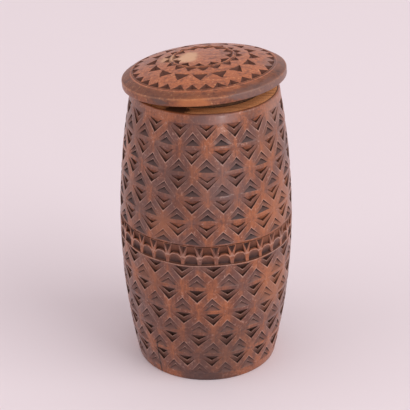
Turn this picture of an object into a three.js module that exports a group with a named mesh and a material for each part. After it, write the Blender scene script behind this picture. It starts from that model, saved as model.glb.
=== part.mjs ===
// A carved wooden jar: a hollowed barrel, its let-in base, and a domed lid that sits askew on its plug.
// Millimetres, +Z up. The origin is the centre of the foot, on the surface that the jar stands on.
// Angles are in degrees from the front, which faces -Y, and grow towards +X.
import * as THREE from 'three';
import { mergeVertices } from 'three/addons/utils/BufferGeometryUtils.js';

// Barrel, outside
const bodyHeight = 180;
const footRadius = 43.7;
const bellyRadius = 53.1;
const bellyHeight = 88;
const mouthRadius = 44.3;
const rimRound = 1.2;
const footRound = 0.8;
const footHeight = 5.8;
const neckHeight = 5.8;

// Barrel, inside
const boreRadius = 34.5;
const boreDepth = 14;
const cavityRadius = 40;
const floorRadius = 36;
const rebateRadius = 38.5;
const fitGap = 0.3;

// Base board
const baseThickness = 8;
const baseRecess = 0.6;
const baseBevel = 0.6;

// Diamonds of the wall: each is a chip that points up and one that points down, with a bar between them
const columns = 18;
const rows = 6;
const barHeight = 2.2;
const chipRiseUp = 7.6;
const chipRiseDown = 8.7;
const chipGapUp = 3.2;
const chipGapDown = 1;
const chipWallRun = 0.3;
const ledgeDepth = 1.2;
const nestShare = 0.56;
const nestDepth = 2.6;
const upperPhase = 1;
const lowerPhase = 4;

// Band of gouge cuts between the two fields of diamonds
const bandMiddle = 93;
const bandHeight = 12;
const grooveWidth = 0.7;
const grooveDepth = 0.6;
const bandStrip = 0.7;
const bandRepeats = 34;
const bandPhase = 0.5;
const archWidth = 7.8;
const archHeight = 6.2;
const archFullness = 0.72;
const ridgeWidth = 0.5;
const scoopTopWidth = 4.3;
const pendantWidth = 4.5;
const pendantRise = 6.9;
const scoopDepth = 1.5;
const scoopRun = 0.5;

// Lid
const lidRadius = 49;
const lidEdgeHeight = 4.6;
const lidEdgeSoft = 0.6;
const lidEdgeRound = 0.8;
const shoulderSwell = 0.35;
const crownRadius = 42.1;
const crownHeight = 8;
const lidHeight = 14.3;
const domePower = 2.5;
const outerChips = { phase: 2, base: crownRadius, apex: 37.8, width: 8.1, gap: 0.15, depth: 1.8 };
const middleChips = { phase: -3, base: 27.6, apex: 34, width: 9.2, gap: 1.6, depth: 2 };
const innerChips = { phase: 1, base: 19.7, apex: 23.8, width: 7, gap: 0.25, depth: 1.4 };
const medallionChips = { phase: -8, base: 17.6, apex: 13.7, width: 9, gap: 0.2, depth: 1.6 };
const beadInside = 17.9;
const beadOutside = 19.2;
const beadHeight = 0.5;

// Plug under the lid, and how the lid sits
const plugDepth = 9;
const plugSeat = 2;
const plugBevel = 1;
const lidTilt = 5.5;
const lidHighSide = 55;

const segments = 64;
const cavityRings = 7;
const weldReach = 1e-4;
const chipHeart = 1 / 3;

const bandBottom = bandMiddle - bandHeight / 2;
const bandTop = bandMiddle + bandHeight / 2;
const seatHeight = baseRecess + baseThickness + fitGap;
const tilt = THREE.MathUtils.degToRad(lidTilt);
const plugRadius = (boreRadius - fitGap - (plugDepth * Math.sin(tilt)) / 2) / Math.cos(tilt);

// Closed surface that is gathered face by face. Faces run counter-clockwise seen from outside.
class Skin {
  constructor() {
    this.corners = [];
  }

  // Convex face, as a fan from its first point
  face(...points) {
    for (let i = 2; i < points.length; i += 1) {
      this.corners.push(points[0], points[i - 1], points[i]);
    }
  }

  // Strip between two rings. The outside is on the right of the way from the first ring to the second.
  strip(from, to) {
    const first = sortedRound(from);
    const second = sortedRound(to);
    let i = 0;
    let j = 0;
    while (i < first.length || j < second.length) {
      const here = cornerOf(first, i);
      const there = cornerOf(second, j);
      const nextHere = cornerOf(first, i + 1);
      const nextThere = cornerOf(second, j + 1);
      if (j === second.length || (i < first.length && nextHere.turn <= nextThere.turn)) {
        this.face(here.point, nextHere.point, there.point);
        i += 1;
      } else {
        this.face(here.point, nextThere.point, there.point);
        j += 1;
      }
    }
  }

  // Strips along a row of rings
  loft(rings) {
    for (let i = 1; i < rings.length; i += 1) {
      this.strip(rings[i - 1], rings[i]);
    }
  }

  // Disc between a ring and a point on the axis
  disc(ring, z, facesUp) {
    const centre = new THREE.Vector3(0, 0, z);
    const round = sortedRound(ring);
    for (let i = 0; i < round.length; i += 1) {
      const edge = [cornerOf(round, i).point, cornerOf(round, i + 1).point];
      this.face(...(facesUp ? edge : edge.reverse()), centre);
    }
  }

  geometry() {
    return welded(new THREE.BufferGeometry().setFromPoints(this.corners));
  }
}

function sortedRound(ring) {
  const corners = ring.map((point) => ({ point, turn: Math.atan2(point.x, -point.y) }));
  return corners.sort((a, b) => a.turn - b.turn);
}

function cornerOf(round, index) {
  const laps = Math.floor(index / round.length);
  const { point, turn } = round[index % round.length];
  return { point, turn: turn + laps * 2 * Math.PI };
}

// Geometry with positions alone, and its shared corners merged
function welded(geometry) {
  geometry.deleteAttribute('normal');
  geometry.deleteAttribute('uv');
  const merged = mergeVertices(geometry, weldReach);
  merged.computeVertexNormals();
  return merged;
}

// Turned solid from a profile of [radius, height] pairs that starts and ends on the axis, from the bottom up
function turned(profile) {
  const points = profile.map(([radius, z]) => new THREE.Vector2(radius, z));
  const lathe = new THREE.LatheGeometry(points, segments);
  lathe.rotateX(Math.PI / 2);
  return welded(lathe);
}

function around(angle, radius, z) {
  const turn = THREE.MathUtils.degToRad(angle);
  return new THREE.Vector3(radius * Math.sin(turn), -radius * Math.cos(turn), z);
}

function ring(radius, z) {
  return Array.from({ length: segments }, (_, i) => around((i * 360) / segments, radius, z));
}

function anglesOf(points) {
  return points.map((point) => THREE.MathUtils.radToDeg(Math.atan2(point.x, -point.y)));
}

function spanOf(width, radius) {
  return THREE.MathUtils.radToDeg(width / radius);
}

// Outside of the barrel: a parabola from the belly to the foot, and one from the belly to the mouth
function barrelRadius(z) {
  const end = z > bellyHeight ? mouthRadius : footRadius;
  const reach = z > bellyHeight ? bodyHeight - bellyHeight : bellyHeight;
  return bellyRadius - (bellyRadius - end) * ((z - bellyHeight) / reach) ** 2;
}

function onWall(angle, z, depth = 0) {
  return around(angle, barrelRadius(z) - depth, z);
}

// Inside of the barrel, below the straight bore of the mouth
function cavityProfile(z) {
  const boreEnd = bodyHeight - boreDepth;
  const end = z > bellyHeight ? boreRadius : floorRadius;
  const reach = z > bellyHeight ? boreEnd - bellyHeight : bellyHeight - seatHeight;
  return cavityRadius - (cavityRadius - end) * ((z - bellyHeight) / reach) ** 2;
}

// Rise of a chip that points up (way 1) or down (way -1)
function riseOf(way) {
  return way > 0 ? chipRiseUp : chipRiseDown;
}

// Chip that points up or down from its base line. Its floor falls from the base line to a steep V-shaped
// wall, and a smaller, deeper chip is nested on the same line.
function cutChip(skin, angle, baseZ, halfSpan, way) {
  const add = (...points) => skin.face(...(way > 0 ? points : points.reverse()));
  const floorRise = riseOf(way) - chipWallRun;
  const left = onWall(angle - halfSpan, baseZ);
  const nestLeft = onWall(angle - halfSpan * nestShare, baseZ);
  const nestRight = onWall(angle + halfSpan * nestShare, baseZ);
  const right = onWall(angle + halfSpan, baseZ);
  const apex = onWall(angle, baseZ + way * riseOf(way));
  const wallFoot = onWall(angle, baseZ + way * floorRise, ledgeDepth);
  const nestApex = onWall(angle, baseZ + way * floorRise * nestShare, ledgeDepth * nestShare);
  const nestFoot = onWall(angle, baseZ + way * (floorRise * nestShare - chipWallRun), nestDepth);
  add(left, nestLeft, nestApex, wallFoot);
  add(nestRight, right, wallFoot, nestApex);
  add(left, wallFoot, apex);
  add(right, apex, wallFoot);
  add(nestLeft, nestRight, nestFoot);
  add(nestLeft, nestFoot, nestApex);
  add(nestRight, nestApex, nestFoot);
}

// Field of diamonds in staggered rows. The first and the last row are halves, with their base lines on the
// field's edges. Gives the rings of corners on those edges.
function carveField(skin, bottom, top, phase) {
  const pitch = (top - bottom + barHeight) / (rows - 1);
  const step = 360 / columns;
  const halfSpan = (way) => step / 2 - spanOf((way > 0 ? chipGapUp : chipGapDown) / 2, bellyRadius);
  const corner = (at, side, way) => onWall(at.angle + side * halfSpan(way), at.z + (way * barHeight) / 2);
  const apex = (at, way) => onWall(at.angle, at.z + way * (barHeight / 2 + riseOf(way)));
  const baseLine = (at, way) => [-1, -nestShare, nestShare, 1].map((side) => corner(at, side, way));
  const edges = { bottom: [], top: [] };
  for (let row = 0; row < rows; row += 1) {
    const first = row === 0;
    const last = row === rows - 1;
    for (let column = 0; column < columns; column += 1) {
      const here = { angle: phase + (column + (row % 2) / 2) * step, z: top + barHeight / 2 - row * pitch };
      const next = { angle: here.angle + step, z: here.z };
      const above = { angle: here.angle + step / 2, z: here.z + pitch };
      const below = { angle: here.angle + step / 2, z: here.z - pitch };
      const belowLeft = { angle: here.angle - step / 2, z: here.z - pitch };
      const lowerLine = baseLine(here, -1);
      const upperLine = baseLine(here, 1);
      const lowerNode = [corner(here, 1, -1), apex(below, 1), corner(next, -1, -1)];
      const upperNode = [corner(next, -1, 1), apex(above, -1), corner(here, 1, 1)];
      if (first) {
        edges.top.push(...lowerLine);
        skin.face(...lowerNode);
      } else if (last) {
        edges.bottom.push(...upperLine);
        skin.face(...upperNode);
      } else {
        skin.face(...lowerNode, ...upperNode);
        for (let i = 1; i < lowerLine.length; i += 1) {
          skin.face(lowerLine[i - 1], lowerLine[i], upperLine[i], upperLine[i - 1]);
        }
      }
      if (!first) {
        cutChip(skin, here.angle, here.z + barHeight / 2, halfSpan(1), 1);
      }
      if (!last) {
        cutChip(skin, here.angle, here.z - barHeight / 2, halfSpan(-1), -1);
        skin.face(corner(here, 1, -1), apex(here, -1), corner(below, -1, 1), apex(below, 1));
        skin.face(corner(here, -1, -1), apex(belowLeft, 1), corner(belowLeft, 1, 1), apex(here, -1));
      }
    }
  }
  return edges;
}

// Band of thumbnail cuts: arches on the lower edge, a scoop over each, and a pendant triangle between the
// scoops. Gives the rings of corners on its two edges.
function carveBand(skin) {
  const step = 360 / bandRepeats;
  const degrees = (width) => spanOf(width, bellyRadius);
  const edges = { bottom: [], top: [] };
  const slant = Math.SQRT1_2 ** archFullness;
  for (let repeat = 0; repeat < bandRepeats; repeat += 1) {
    const middle = bandPhase + repeat * step;
    const at = (across, rise, depth) => onWall(middle + degrees(across), bandBottom + rise, depth);
    const mirrored = (across, rise, depth) => [at(-across, rise, depth), at(across, rise, depth)];
    const half = archWidth / 2;
    const [footLeft, footRight] = mirrored(half, 0);
    const [springLeft, springRight] = mirrored(half * slant, archHeight * slant);
    const [deepLeft, deepRight] = mirrored(half - scoopRun, scoopRun, scoopDepth);
    const crown = at(0, archHeight);
    skin.face(crown, springLeft, deepLeft);
    skin.face(crown, deepLeft, deepRight);
    skin.face(crown, deepRight, springRight);
    skin.face(springLeft, footLeft, deepLeft);
    skin.face(springRight, deepRight, footRight);
    skin.face(footLeft, footRight, deepRight, deepLeft);

    const ridge = archHeight * slant + ridgeWidth;
    const [hipLeft, hipRight] = mirrored(half * slant, ridge);
    const [bedLeft, bedRight] = mirrored(half * slant - scoopRun, ridge + scoopRun, scoopDepth);
    const [topLeft, topRight] = mirrored(scoopTopWidth / 2, bandHeight);
    const saddle = at(0, archHeight + ridgeWidth);
    const bed = at(0, archHeight + ridgeWidth + scoopRun, scoopDepth);
    skin.face(topLeft, bedLeft, bed);
    skin.face(topLeft, bed, topRight);
    skin.face(topRight, bed, bedRight);
    skin.face(hipLeft, saddle, bed, bedLeft);
    skin.face(saddle, hipRight, bedRight, bed);
    skin.face(topLeft, hipLeft, bedLeft);
    skin.face(topRight, bedRight, hipRight);
    skin.face(springLeft, crown, saddle, hipLeft);
    skin.face(crown, springRight, hipRight, saddle);

    const between = (across, rise, depth) =>
      onWall(middle + step / 2 + degrees(across), bandBottom + rise, depth);
    const pendantLeft = between(-pendantWidth / 2, bandHeight);
    const pendantRight = between(pendantWidth / 2, bandHeight);
    const pendantTip = between(0, pendantRise);
    const pendantFloor = between(0, bandHeight - (bandHeight - pendantRise) * chipHeart, scoopDepth);
    skin.face(pendantTip, pendantRight, pendantFloor);
    skin.face(pendantRight, pendantLeft, pendantFloor);
    skin.face(pendantLeft, pendantTip, pendantFloor);

    const onward = (across, rise) => onWall(middle + step + degrees(across), bandBottom + rise);
    const nextFoot = onward(-half, 0);
    const nextSpring = onward(-half * slant, archHeight * slant);
    const nextHip = onward(-half * slant, ridge);
    const nextTop = onward(-scoopTopWidth / 2, bandHeight);
    skin.face(footRight, nextFoot, nextSpring, springRight);
    skin.face(springRight, nextSpring, pendantTip);
    skin.face(springRight, pendantTip, hipRight);
    skin.face(hipRight, pendantTip, pendantLeft, topRight);
    skin.face(nextSpring, nextHip, pendantTip);
    skin.face(nextHip, nextTop, pendantRight, pendantTip);

    edges.bottom.push(footLeft, footRight);
    edges.top.push(topLeft, topRight, pendantLeft, pendantRight);
  }
  return edges;
}

function barrel() {
  const skin = new Skin();
  const bandEdge = grooveWidth + bandStrip;
  const lower = carveField(skin, footHeight, bandBottom - bandEdge, lowerPhase);
  const upper = carveField(skin, bandTop + bandEdge, bodyHeight - neckHeight, upperPhase);
  const band = carveBand(skin);
  const wallRing = (edge, z, depth) => anglesOf(edge).map((angle) => onWall(angle, z, depth));
  const rimAngles = anglesOf(upper.top);
  const boreEnd = bodyHeight - boreDepth;
  const cavity = Array.from({ length: cavityRings }, (_, i) => {
    const z = boreEnd + ((seatHeight - boreEnd) * i) / (cavityRings - 1);
    return ring(cavityProfile(z), z);
  });
  skin.loft([
    ring(rebateRadius, 0),
    anglesOf(lower.bottom).map((angle) => around(angle, footRadius - footRound, 0)),
    wallRing(lower.bottom, footRound),
    lower.bottom,
  ]);
  skin.loft([
    lower.top,
    wallRing(lower.top, bandBottom - grooveWidth),
    wallRing(lower.top, bandBottom - grooveWidth / 2, grooveDepth),
    band.bottom,
  ]);
  skin.loft([
    band.top,
    wallRing(upper.bottom, bandTop + grooveWidth / 2, grooveDepth),
    wallRing(upper.bottom, bandTop + grooveWidth),
    upper.bottom,
  ]);
  skin.loft([
    upper.top,
    wallRing(upper.top, bodyHeight - rimRound),
    rimAngles.map((angle) => around(angle, mouthRadius - rimRound, bodyHeight)),
    ring(boreRadius, bodyHeight),
    ...cavity,
    ring(rebateRadius, seatHeight),
    ring(rebateRadius, 0),
  ]);
  return skin.geometry();
}

function baseBoard() {
  const radius = rebateRadius - fitGap;
  const top = baseRecess + baseThickness;
  return turned([
    [0, baseRecess],
    [radius - baseBevel, baseRecess],
    [radius, baseRecess + baseBevel],
    [radius, top],
    [0, top],
  ]);
}

// Top of the lid: a dome that is flat in the middle and falls faster towards the crown's edge
function crownZ(radius) {
  return lidHeight - (lidHeight - crownHeight) * (radius / crownRadius) ** domePower;
}

// Ring of three-sided chips in the lid, with their bases on one circle and their apexes on another. There are
// as many as the base circle has room for, with at least the gap between two. Each is deepest at its heart, a
// third of the way up. Gives the rings of corners on those circles.
function chipRing(skin, { phase, base, apex, width, gap, depth }) {
  const count = Math.floor((2 * Math.PI * base) / (width + gap));
  const inward = base > apex;
  const add = (...points) => skin.face(...(inward ? points : points.reverse()));
  const step = 360 / count;
  const half = spanOf(width / 2, base);
  const heart = base + (apex - base) * chipHeart;
  const edges = { base: [], apex: [] };
  const onCrown = (angle, radius, deep = 0) => around(angle, radius, crownZ(radius) - deep);
  for (let i = 0; i < count; i += 1) {
    const angle = phase + i * step;
    const left = onCrown(angle - half, base);
    const right = onCrown(angle + half, base);
    const tip = onCrown(angle, apex);
    const floor = onCrown(angle, heart, depth);
    add(left, right, floor);
    add(right, tip, floor);
    add(tip, left, floor);
    add(right, onCrown(angle + step - half, base), onCrown(angle + step, apex), tip);
    edges.base.push(left, right);
    edges.apex.push(tip);
  }
  return edges;
}

function cover() {
  const skin = new Skin();
  const outer = chipRing(skin, outerChips);
  const middle = chipRing(skin, middleChips);
  const inner = chipRing(skin, innerChips);
  const medallion = chipRing(skin, medallionChips);
  const socketRadius = plugRadius + fitGap;
  const shoulderEnd = lidRadius - lidEdgeSoft;
  const bead = [beadOutside, (beadOutside + beadInside) / 2, beadInside].map((radius, i) =>
    ring(radius, crownZ(radius) + (i === 1 ? beadHeight : 0)),
  );
  const socket = ring(socketRadius, plugSeat);
  skin.disc(socket, plugSeat, false);
  skin.loft([
    socket,
    ring(socketRadius, 0),
    ring(lidRadius - lidEdgeRound, 0),
    ring(lidRadius, lidEdgeRound),
    ring(lidRadius, lidEdgeHeight - lidEdgeSoft),
    ring(shoulderEnd, lidEdgeHeight),
    ring((shoulderEnd + crownRadius) / 2, (lidEdgeHeight + crownHeight) / 2 + shoulderSwell),
    outer.base,
  ]);
  skin.loft([outer.apex, middle.apex]);
  skin.loft([middle.base, inner.apex]);
  skin.loft([inner.base, ...bead, medallion.base]);
  skin.disc(medallion.apex, lidHeight, true);
  return skin.geometry();
}

function plug() {
  return turned([
    [0, -plugDepth],
    [plugRadius - plugBevel, -plugDepth],
    [plugRadius, plugBevel - plugDepth],
    [plugRadius, plugSeat - fitGap],
    [0, plugSeat - fitGap],
  ]);
}

function piece(name, geometry, color, roughness) {
  const mesh = new THREE.Mesh(geometry, new THREE.MeshStandardMaterial({ color, roughness, metalness: 0 }));
  mesh.name = name;
  return mesh;
}

// The lid leans with its high side at the front right. Its plug binds across the bore, and its low side lies
// on the rim's outer edge.
function seatLid(lid) {
  const high = around(lidHighSide, 1, 0);
  const lean = (plugDepth * Math.sin(tilt)) / 2;
  const rimReach = mouthRadius - rimRound - lean;
  const axis = new THREE.Vector3().crossVectors(high, new THREE.Vector3(0, 0, 1));
  lid.quaternion.setFromAxisAngle(axis, tilt);
  lid.position.copy(high).multiplyScalar(-lean);
  lid.position.z = bodyHeight + fitGap / Math.cos(tilt) + rimReach * Math.tan(tilt);
}

const lid = new THREE.Group();
lid.add(piece('lid', cover(), 0x9a5f42, 0.5), piece('lid_plug', plug(), 0xa87a3c, 0.7));
seatLid(lid);

const jar = new THREE.Group();
jar.add(piece('jar_body', barrel(), 0x8a5741, 0.5), piece('base_disc', baseBoard(), 0x7a4c36, 0.6), lid);

export default jar;
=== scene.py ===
import logging
import math
from collections.abc import Iterator, Mapping, Sequence
from dataclasses import dataclass
from enum import Enum

import bpy
import numpy as np
from mathutils import Matrix, Vector


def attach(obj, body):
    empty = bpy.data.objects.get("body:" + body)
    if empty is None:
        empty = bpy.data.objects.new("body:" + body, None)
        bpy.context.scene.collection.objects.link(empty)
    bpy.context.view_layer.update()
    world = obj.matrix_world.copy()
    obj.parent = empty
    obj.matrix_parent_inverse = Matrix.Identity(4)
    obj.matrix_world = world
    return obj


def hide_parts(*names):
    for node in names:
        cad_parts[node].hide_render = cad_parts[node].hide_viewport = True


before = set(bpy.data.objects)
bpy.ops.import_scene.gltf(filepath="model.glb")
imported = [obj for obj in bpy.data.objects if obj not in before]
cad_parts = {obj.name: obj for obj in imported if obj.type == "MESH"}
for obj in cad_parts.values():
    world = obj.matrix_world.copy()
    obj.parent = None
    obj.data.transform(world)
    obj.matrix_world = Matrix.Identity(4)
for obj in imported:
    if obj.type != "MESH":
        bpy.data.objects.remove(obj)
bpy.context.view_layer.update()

# Looks of a carved wooden jar: its chip-carved wall and lid, the plug under the lid and the base board.
# Lengths are millimetres until a mesh is made. Angles run from the front, which faces -Y, towards +X.

LOG = logging.getLogger("carved_jar")
METRES = 0.001
TURN = 2.0 * math.pi
# Steps to a millimetre that places are rounded to before they are welded.
WELD_STEPS = 1000.0
# Power of the way that the depth of a rounded arris follows.
ROUNDED = 2.0
# Value that the shader's noise lies round.
NOISE_MIDDLE = 0.5
Array = np.ndarray
Triple = tuple[float, float, float]
Colour = Triple
UP: Triple = (0.0, 0.0, 1.0)


class Channel(Enum):
    """What a point of a patch carries, in the order of its last axis."""

    ANGLE = 0
    PLACE = 1
    DEPTH = 2
    EDGE = 3
    CUT = 4
    DARK = 5
    FILM = 6
    RAW = 7
    DUST = 8


class Grain(Enum):
    """Factors for x, y and z that draw the noise out along the fibres."""

    UP = (1.0, 1.0, 0.05)
    ACROSS = (0.1, 1.0, 1.0)


class Clouds(Enum):
    """Unevenness of the wood: width in millimetres, octaves, and the strength that each octave keeps."""

    FINE = (0.9, 5.0, 0.6)
    SPECKS = (1.5, 3.0, 0.55)
    MOTTLE = (4.0, 4.0, 0.65)
    BANDS = (5.0, 3.0, 0.55)
    PATCHES = (9.0, 4.0, 0.55)
    BROAD = (34.0, 3.0, 0.55)


MARKS = (Channel.EDGE, Channel.CUT, Channel.DARK, Channel.FILM, Channel.RAW, Channel.DUST)


def point(
    angle: float,
    place: float,
    depth: float,
    edge: float = 0.0,
    cut: float = 0.0,
    dark: float = 0.0,
    film: float = 0.0,
    dust: float = 0.0,
) -> Array:
    """Point of a template.

    Args:
        angle: Angle from the template's middle.
        place: Height or radius from the template's middle.
        depth: Depth under the uncut surface.
        edge: 1 on a worn arris.
        cut: 1 on a cut face.
        dark: 1 in a crease, for dirt and painted shade.
        film: 1 where hands don't rub the grey film off.
        dust: 1 on a cut face that dust lies on.

    Returns:
        The point's channels.
    """
    return np.array([angle, place, depth, edge, cut, dark, film, 0.0, dust])


def line(first: Array, last: Array, pieces: int) -> Array:
    """Straight row of points.

    Args:
        first: Point that the row starts from, channels last.
        last: Point that the row ends at.
        pieces: Equal pieces that the row is cut into.

    Returns:
        The points, one more than the pieces.
    """
    share = np.linspace(0.0, 1.0, pieces + 1)[:, None]
    return first + (last - first) * share


def path(corners: Sequence[Array], pieces: Sequence[int]) -> Array:
    """Straight rows of points from corner to corner, with each shared corner once.

    Args:
        corners: Points that the path goes through.
        pieces: Pieces between each corner and the next.

    Returns:
        The points of the whole path.
    """
    rows = [line(a, b, n) for a, b, n in zip(corners[:-1], corners[1:], pieces, strict=True)]
    return np.concatenate([row[:-1] for row in rows] + [rows[-1][-1:]])


def ruled(first: Array, second: Array, pieces: int | Sequence[float], bend: float = 1.0) -> Array:
    """Patch of straight rules between two rows of points.

    Each rule goes from a point of the first row to its fellow in the second. The depth along it follows
    the share of the way to the power of the bend, so a bend over 1 rounds the patch off at the first row.
    The marks of a worn edge stay on the two rows.

    Args:
        first: Row of points, channels last.
        second: Row of as many points.
        pieces: Equal pieces that each rule is cut into, or the shares of the way at its points.
        bend: Power of the way that the depth follows.

    Returns:
        Grid of points: rules' points, rows' points, channels.
    """
    shares = np.linspace(0.0, 1.0, pieces + 1) if isinstance(pieces, int) else np.array(pieces)
    share = shares[:, None]
    grid = first + (second - first) * share[..., None]
    deep = Channel.DEPTH.value
    grid[..., deep] = first[:, deep] + (second - first)[:, deep] * share**bend
    grid[1:-1, :, Channel.EDGE.value] = 0.0
    return grid


def mirrored(patch: Array, channel: Channel) -> Array:
    """Patch with one channel's sign turned.

    Args:
        patch: Points, channels last.
        channel: Channel to turn.

    Returns:
        The mirrored copy.
    """
    sign = np.ones(len(Channel))
    sign[channel.value] = -1.0
    return patch * sign


def repeated(patch: Array, angles: Array, places: Array | float = 0.0) -> Array:
    """Copies of a patch round the axis.

    Args:
        patch: Template with its angle and place counted from the copy's own middle.
        angles: Middle angle of each copy.
        places: Middle place of each copy, or one for all.

    Returns:
        The copies, stacked on a new first axis.
    """
    shift = np.zeros((len(angles), len(Channel)))
    shift[:, Channel.ANGLE.value] = angles
    shift[:, Channel.PLACE.value] = places
    return patch + shift.reshape((len(angles),) + (1,) * (patch.ndim - 1) + (len(Channel),))


def ring_at(
    ring: Array, place: float, depth: float, raw: float = 0.0, dark: float = 0.0, edge: float = 0.0
) -> Array:
    """Ring with the angles of another one.

    Args:
        ring: Ring that gives the angles.
        place: Height or radius of the new ring.
        depth: Depth of the new ring below the uncut surface.
        raw: 1 on wood that was never stained.
        dark: 1 in a crease, for dirt and painted shade.
        edge: 1 on a worn arris.

    Returns:
        The new ring.
    """
    fresh = np.zeros_like(ring)
    fresh[:, Channel.ANGLE.value] = ring[:, Channel.ANGLE.value]
    fresh[:, Channel.PLACE.value] = place
    fresh[:, Channel.DEPTH.value] = depth
    fresh[:, Channel.RAW.value] = raw
    fresh[:, Channel.DARK.value] = dark
    fresh[:, Channel.EDGE.value] = edge
    return fresh


def smooth_step(low: float, high: float, value: Array) -> Array:
    """Rise from 0 to 1 with level ends.

    Args:
        low: Value where the rise starts.
        high: Value where it ends.
        value: Where it is wanted.

    Returns:
        The share of the rise, between 0 and 1.
    """
    share = np.clip((value - low) / (high - low), 0.0, 1.0)
    return share * share * (3.0 - 2.0 * share)


@dataclass(frozen=True)
class Wobble:
    """Smooth unevenness of hand work: a seeded sum of sine waves that closes round the axis."""

    seed: int
    reach: float
    turns: int
    pitch: float
    waves: int = 28

    def __call__(self, angle: Array, place: Array) -> Array:
        """Unevenness at points of a surface.

        Args:
            angle: Angle of each point.
            place: Height or radius of each point.

        Returns:
            Shifts that mostly stay within the reach.
        """
        rng = np.random.default_rng(self.seed)
        round_waves = rng.integers(-self.turns, self.turns + 1, self.waves)
        up_waves = rng.uniform(-1.0, 1.0, self.waves) * TURN / self.pitch
        start = rng.uniform(0.0, TURN, self.waves)
        phase = angle[..., None] * round_waves + place[..., None] * up_waves + start
        return np.sin(phase).sum(axis=-1) * self.reach / math.sqrt(2.0 * self.waves)


class Patchwork:
    """Patches that meet edge to edge, gathered and then welded into one closed mesh."""

    def __init__(self) -> None:
        """Start with nothing gathered."""
        self.points: list[Array] = []
        self.faces: list[Array] = []
        self.count = 0

    def _keep(self, points: Array, faces: Array) -> None:
        """Keep points and the faces between them.

        Args:
            points: Points, channels last.
            faces: Four indices into these points for each face.
        """
        self.points.append(points)
        self.faces.append(faces + self.count)
        self.count += len(points)

    def add(self, patch: Array) -> None:
        """Gather a patch or a stack of patches.

        Args:
            patch: Grids of points, with any number of axes before rows, columns and channels.
        """
        stack = patch.reshape((-1,) + patch.shape[-3:])
        index = np.arange(stack[..., 0].size).reshape(stack.shape[:-1])
        corners = (index[:, :-1, :-1], index[:, 1:, :-1], index[:, 1:, 1:], index[:, :-1, 1:])
        self._keep(stack.reshape(-1, len(Channel)), np.stack(corners, axis=-1).reshape(-1, 4))

    def loft(self, rings: Sequence[Array]) -> None:
        """Gather the strips along a row of closed rings with as many points each.

        Args:
            rings: Rings in order, without a repeated last point.
        """
        grid = np.stack(rings)
        self.add(np.concatenate([grid, grid[:, :1]], axis=1))

    def bridge(self, first: Array, second: Array) -> None:
        """Gather the triangles between two closed rings with different counts of points.

        An edge of either ring takes for its third corner the last point of the other ring that lies before
        the edge's own end, going round.

        Args:
            first: Ring in order of angle.
            second: Ring in order of angle.
        """
        start = first[0, 0]
        second = second[np.argsort(np.mod(second[:, 0] - start, TURN))]
        turn_first = np.mod(first[:, 0] - start, TURN)
        turn_second = np.mod(second[:, 0] - start, TURN)
        size_first, size_second = len(first), len(second)
        here = np.arange(size_first)
        ends = np.append(turn_first[1:], TURN)
        across = (np.searchsorted(turn_second, ends, "left") - 1) % size_second + size_first
        onward = (here + 1) % size_first
        edges_first = np.stack([here, onward, across, across], axis=-1)
        there = np.arange(size_second)
        back = np.searchsorted(turn_first, turn_second, "right") - 1
        before = (there - 1) % size_second + size_first
        edges_second = np.stack([back, there + size_first, before, before], axis=-1)
        self._keep(np.concatenate([first, second]), np.concatenate([edges_first, edges_second]))

    def mesh(self, name: str, points: Array) -> bpy.types.Mesh:
        """Weld what was gathered into a mesh with its marks as attributes.

        Points at one spot become one, with the highest of their marks. A face keeps the corners that differ
        from the corner before them.

        Args:
            name: Name of the mesh.
            points: Place of each gathered point, in millimetres.

        Returns:
            The mesh, in metres.
        """
        keys = np.round(points * WELD_STEPS).astype(np.int64)
        _, first, joined = np.unique(keys, axis=0, return_index=True, return_inverse=True)
        joined = joined.reshape(-1)
        faces = joined[np.concatenate(self.faces)]
        kept = faces != np.roll(faces, 1, axis=1)
        sound = kept.sum(axis=1) > 2
        faces, kept = faces[sound], kept[sound]
        starts = np.concatenate([[0], np.cumsum(kept.sum(axis=1))[:-1]])
        corners = faces[kept]
        mesh = bpy.data.meshes.new(name)
        mesh.vertices.add(len(first))
        mesh.vertices.foreach_set("co", (points[first] * METRES).ravel())
        mesh.loops.add(len(corners))
        mesh.loops.foreach_set("vertex_index", corners.astype(np.int32))
        mesh.polygons.add(len(faces))
        mesh.polygons.foreach_set("loop_start", starts.astype(np.int32))
        marks = np.concatenate(self.points)
        for mark in MARKS:
            highest = np.zeros(len(first))
            np.maximum.at(highest, joined, marks[:, mark.value])
            layer = mesh.attributes.new(mark.name.lower(), "FLOAT", "POINT")
            layer.data.foreach_set("value", highest.astype(np.float32))
        mesh.update(calc_edges=True)
        return mesh


def polar(angle: Array, radius: Array, height: Array) -> Array:
    """Points from their angle from the front, their radius and their height.

    Args:
        angle: Angles.
        radius: Radii.
        height: Heights.

    Returns:
        Points, x, y and z last.
    """
    return np.stack([radius * np.sin(angle), -radius * np.cos(angle), height], axis=-1)


def seated(points: Array, seat: Matrix) -> Array:
    """Points after a placing.

    Args:
        points: Points, x, y and z last.
        seat: The placing.

    Returns:
        The placed points.
    """
    matrix = np.array(seat)
    return points @ matrix[:3, :3].T + matrix[:3, 3]


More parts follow.
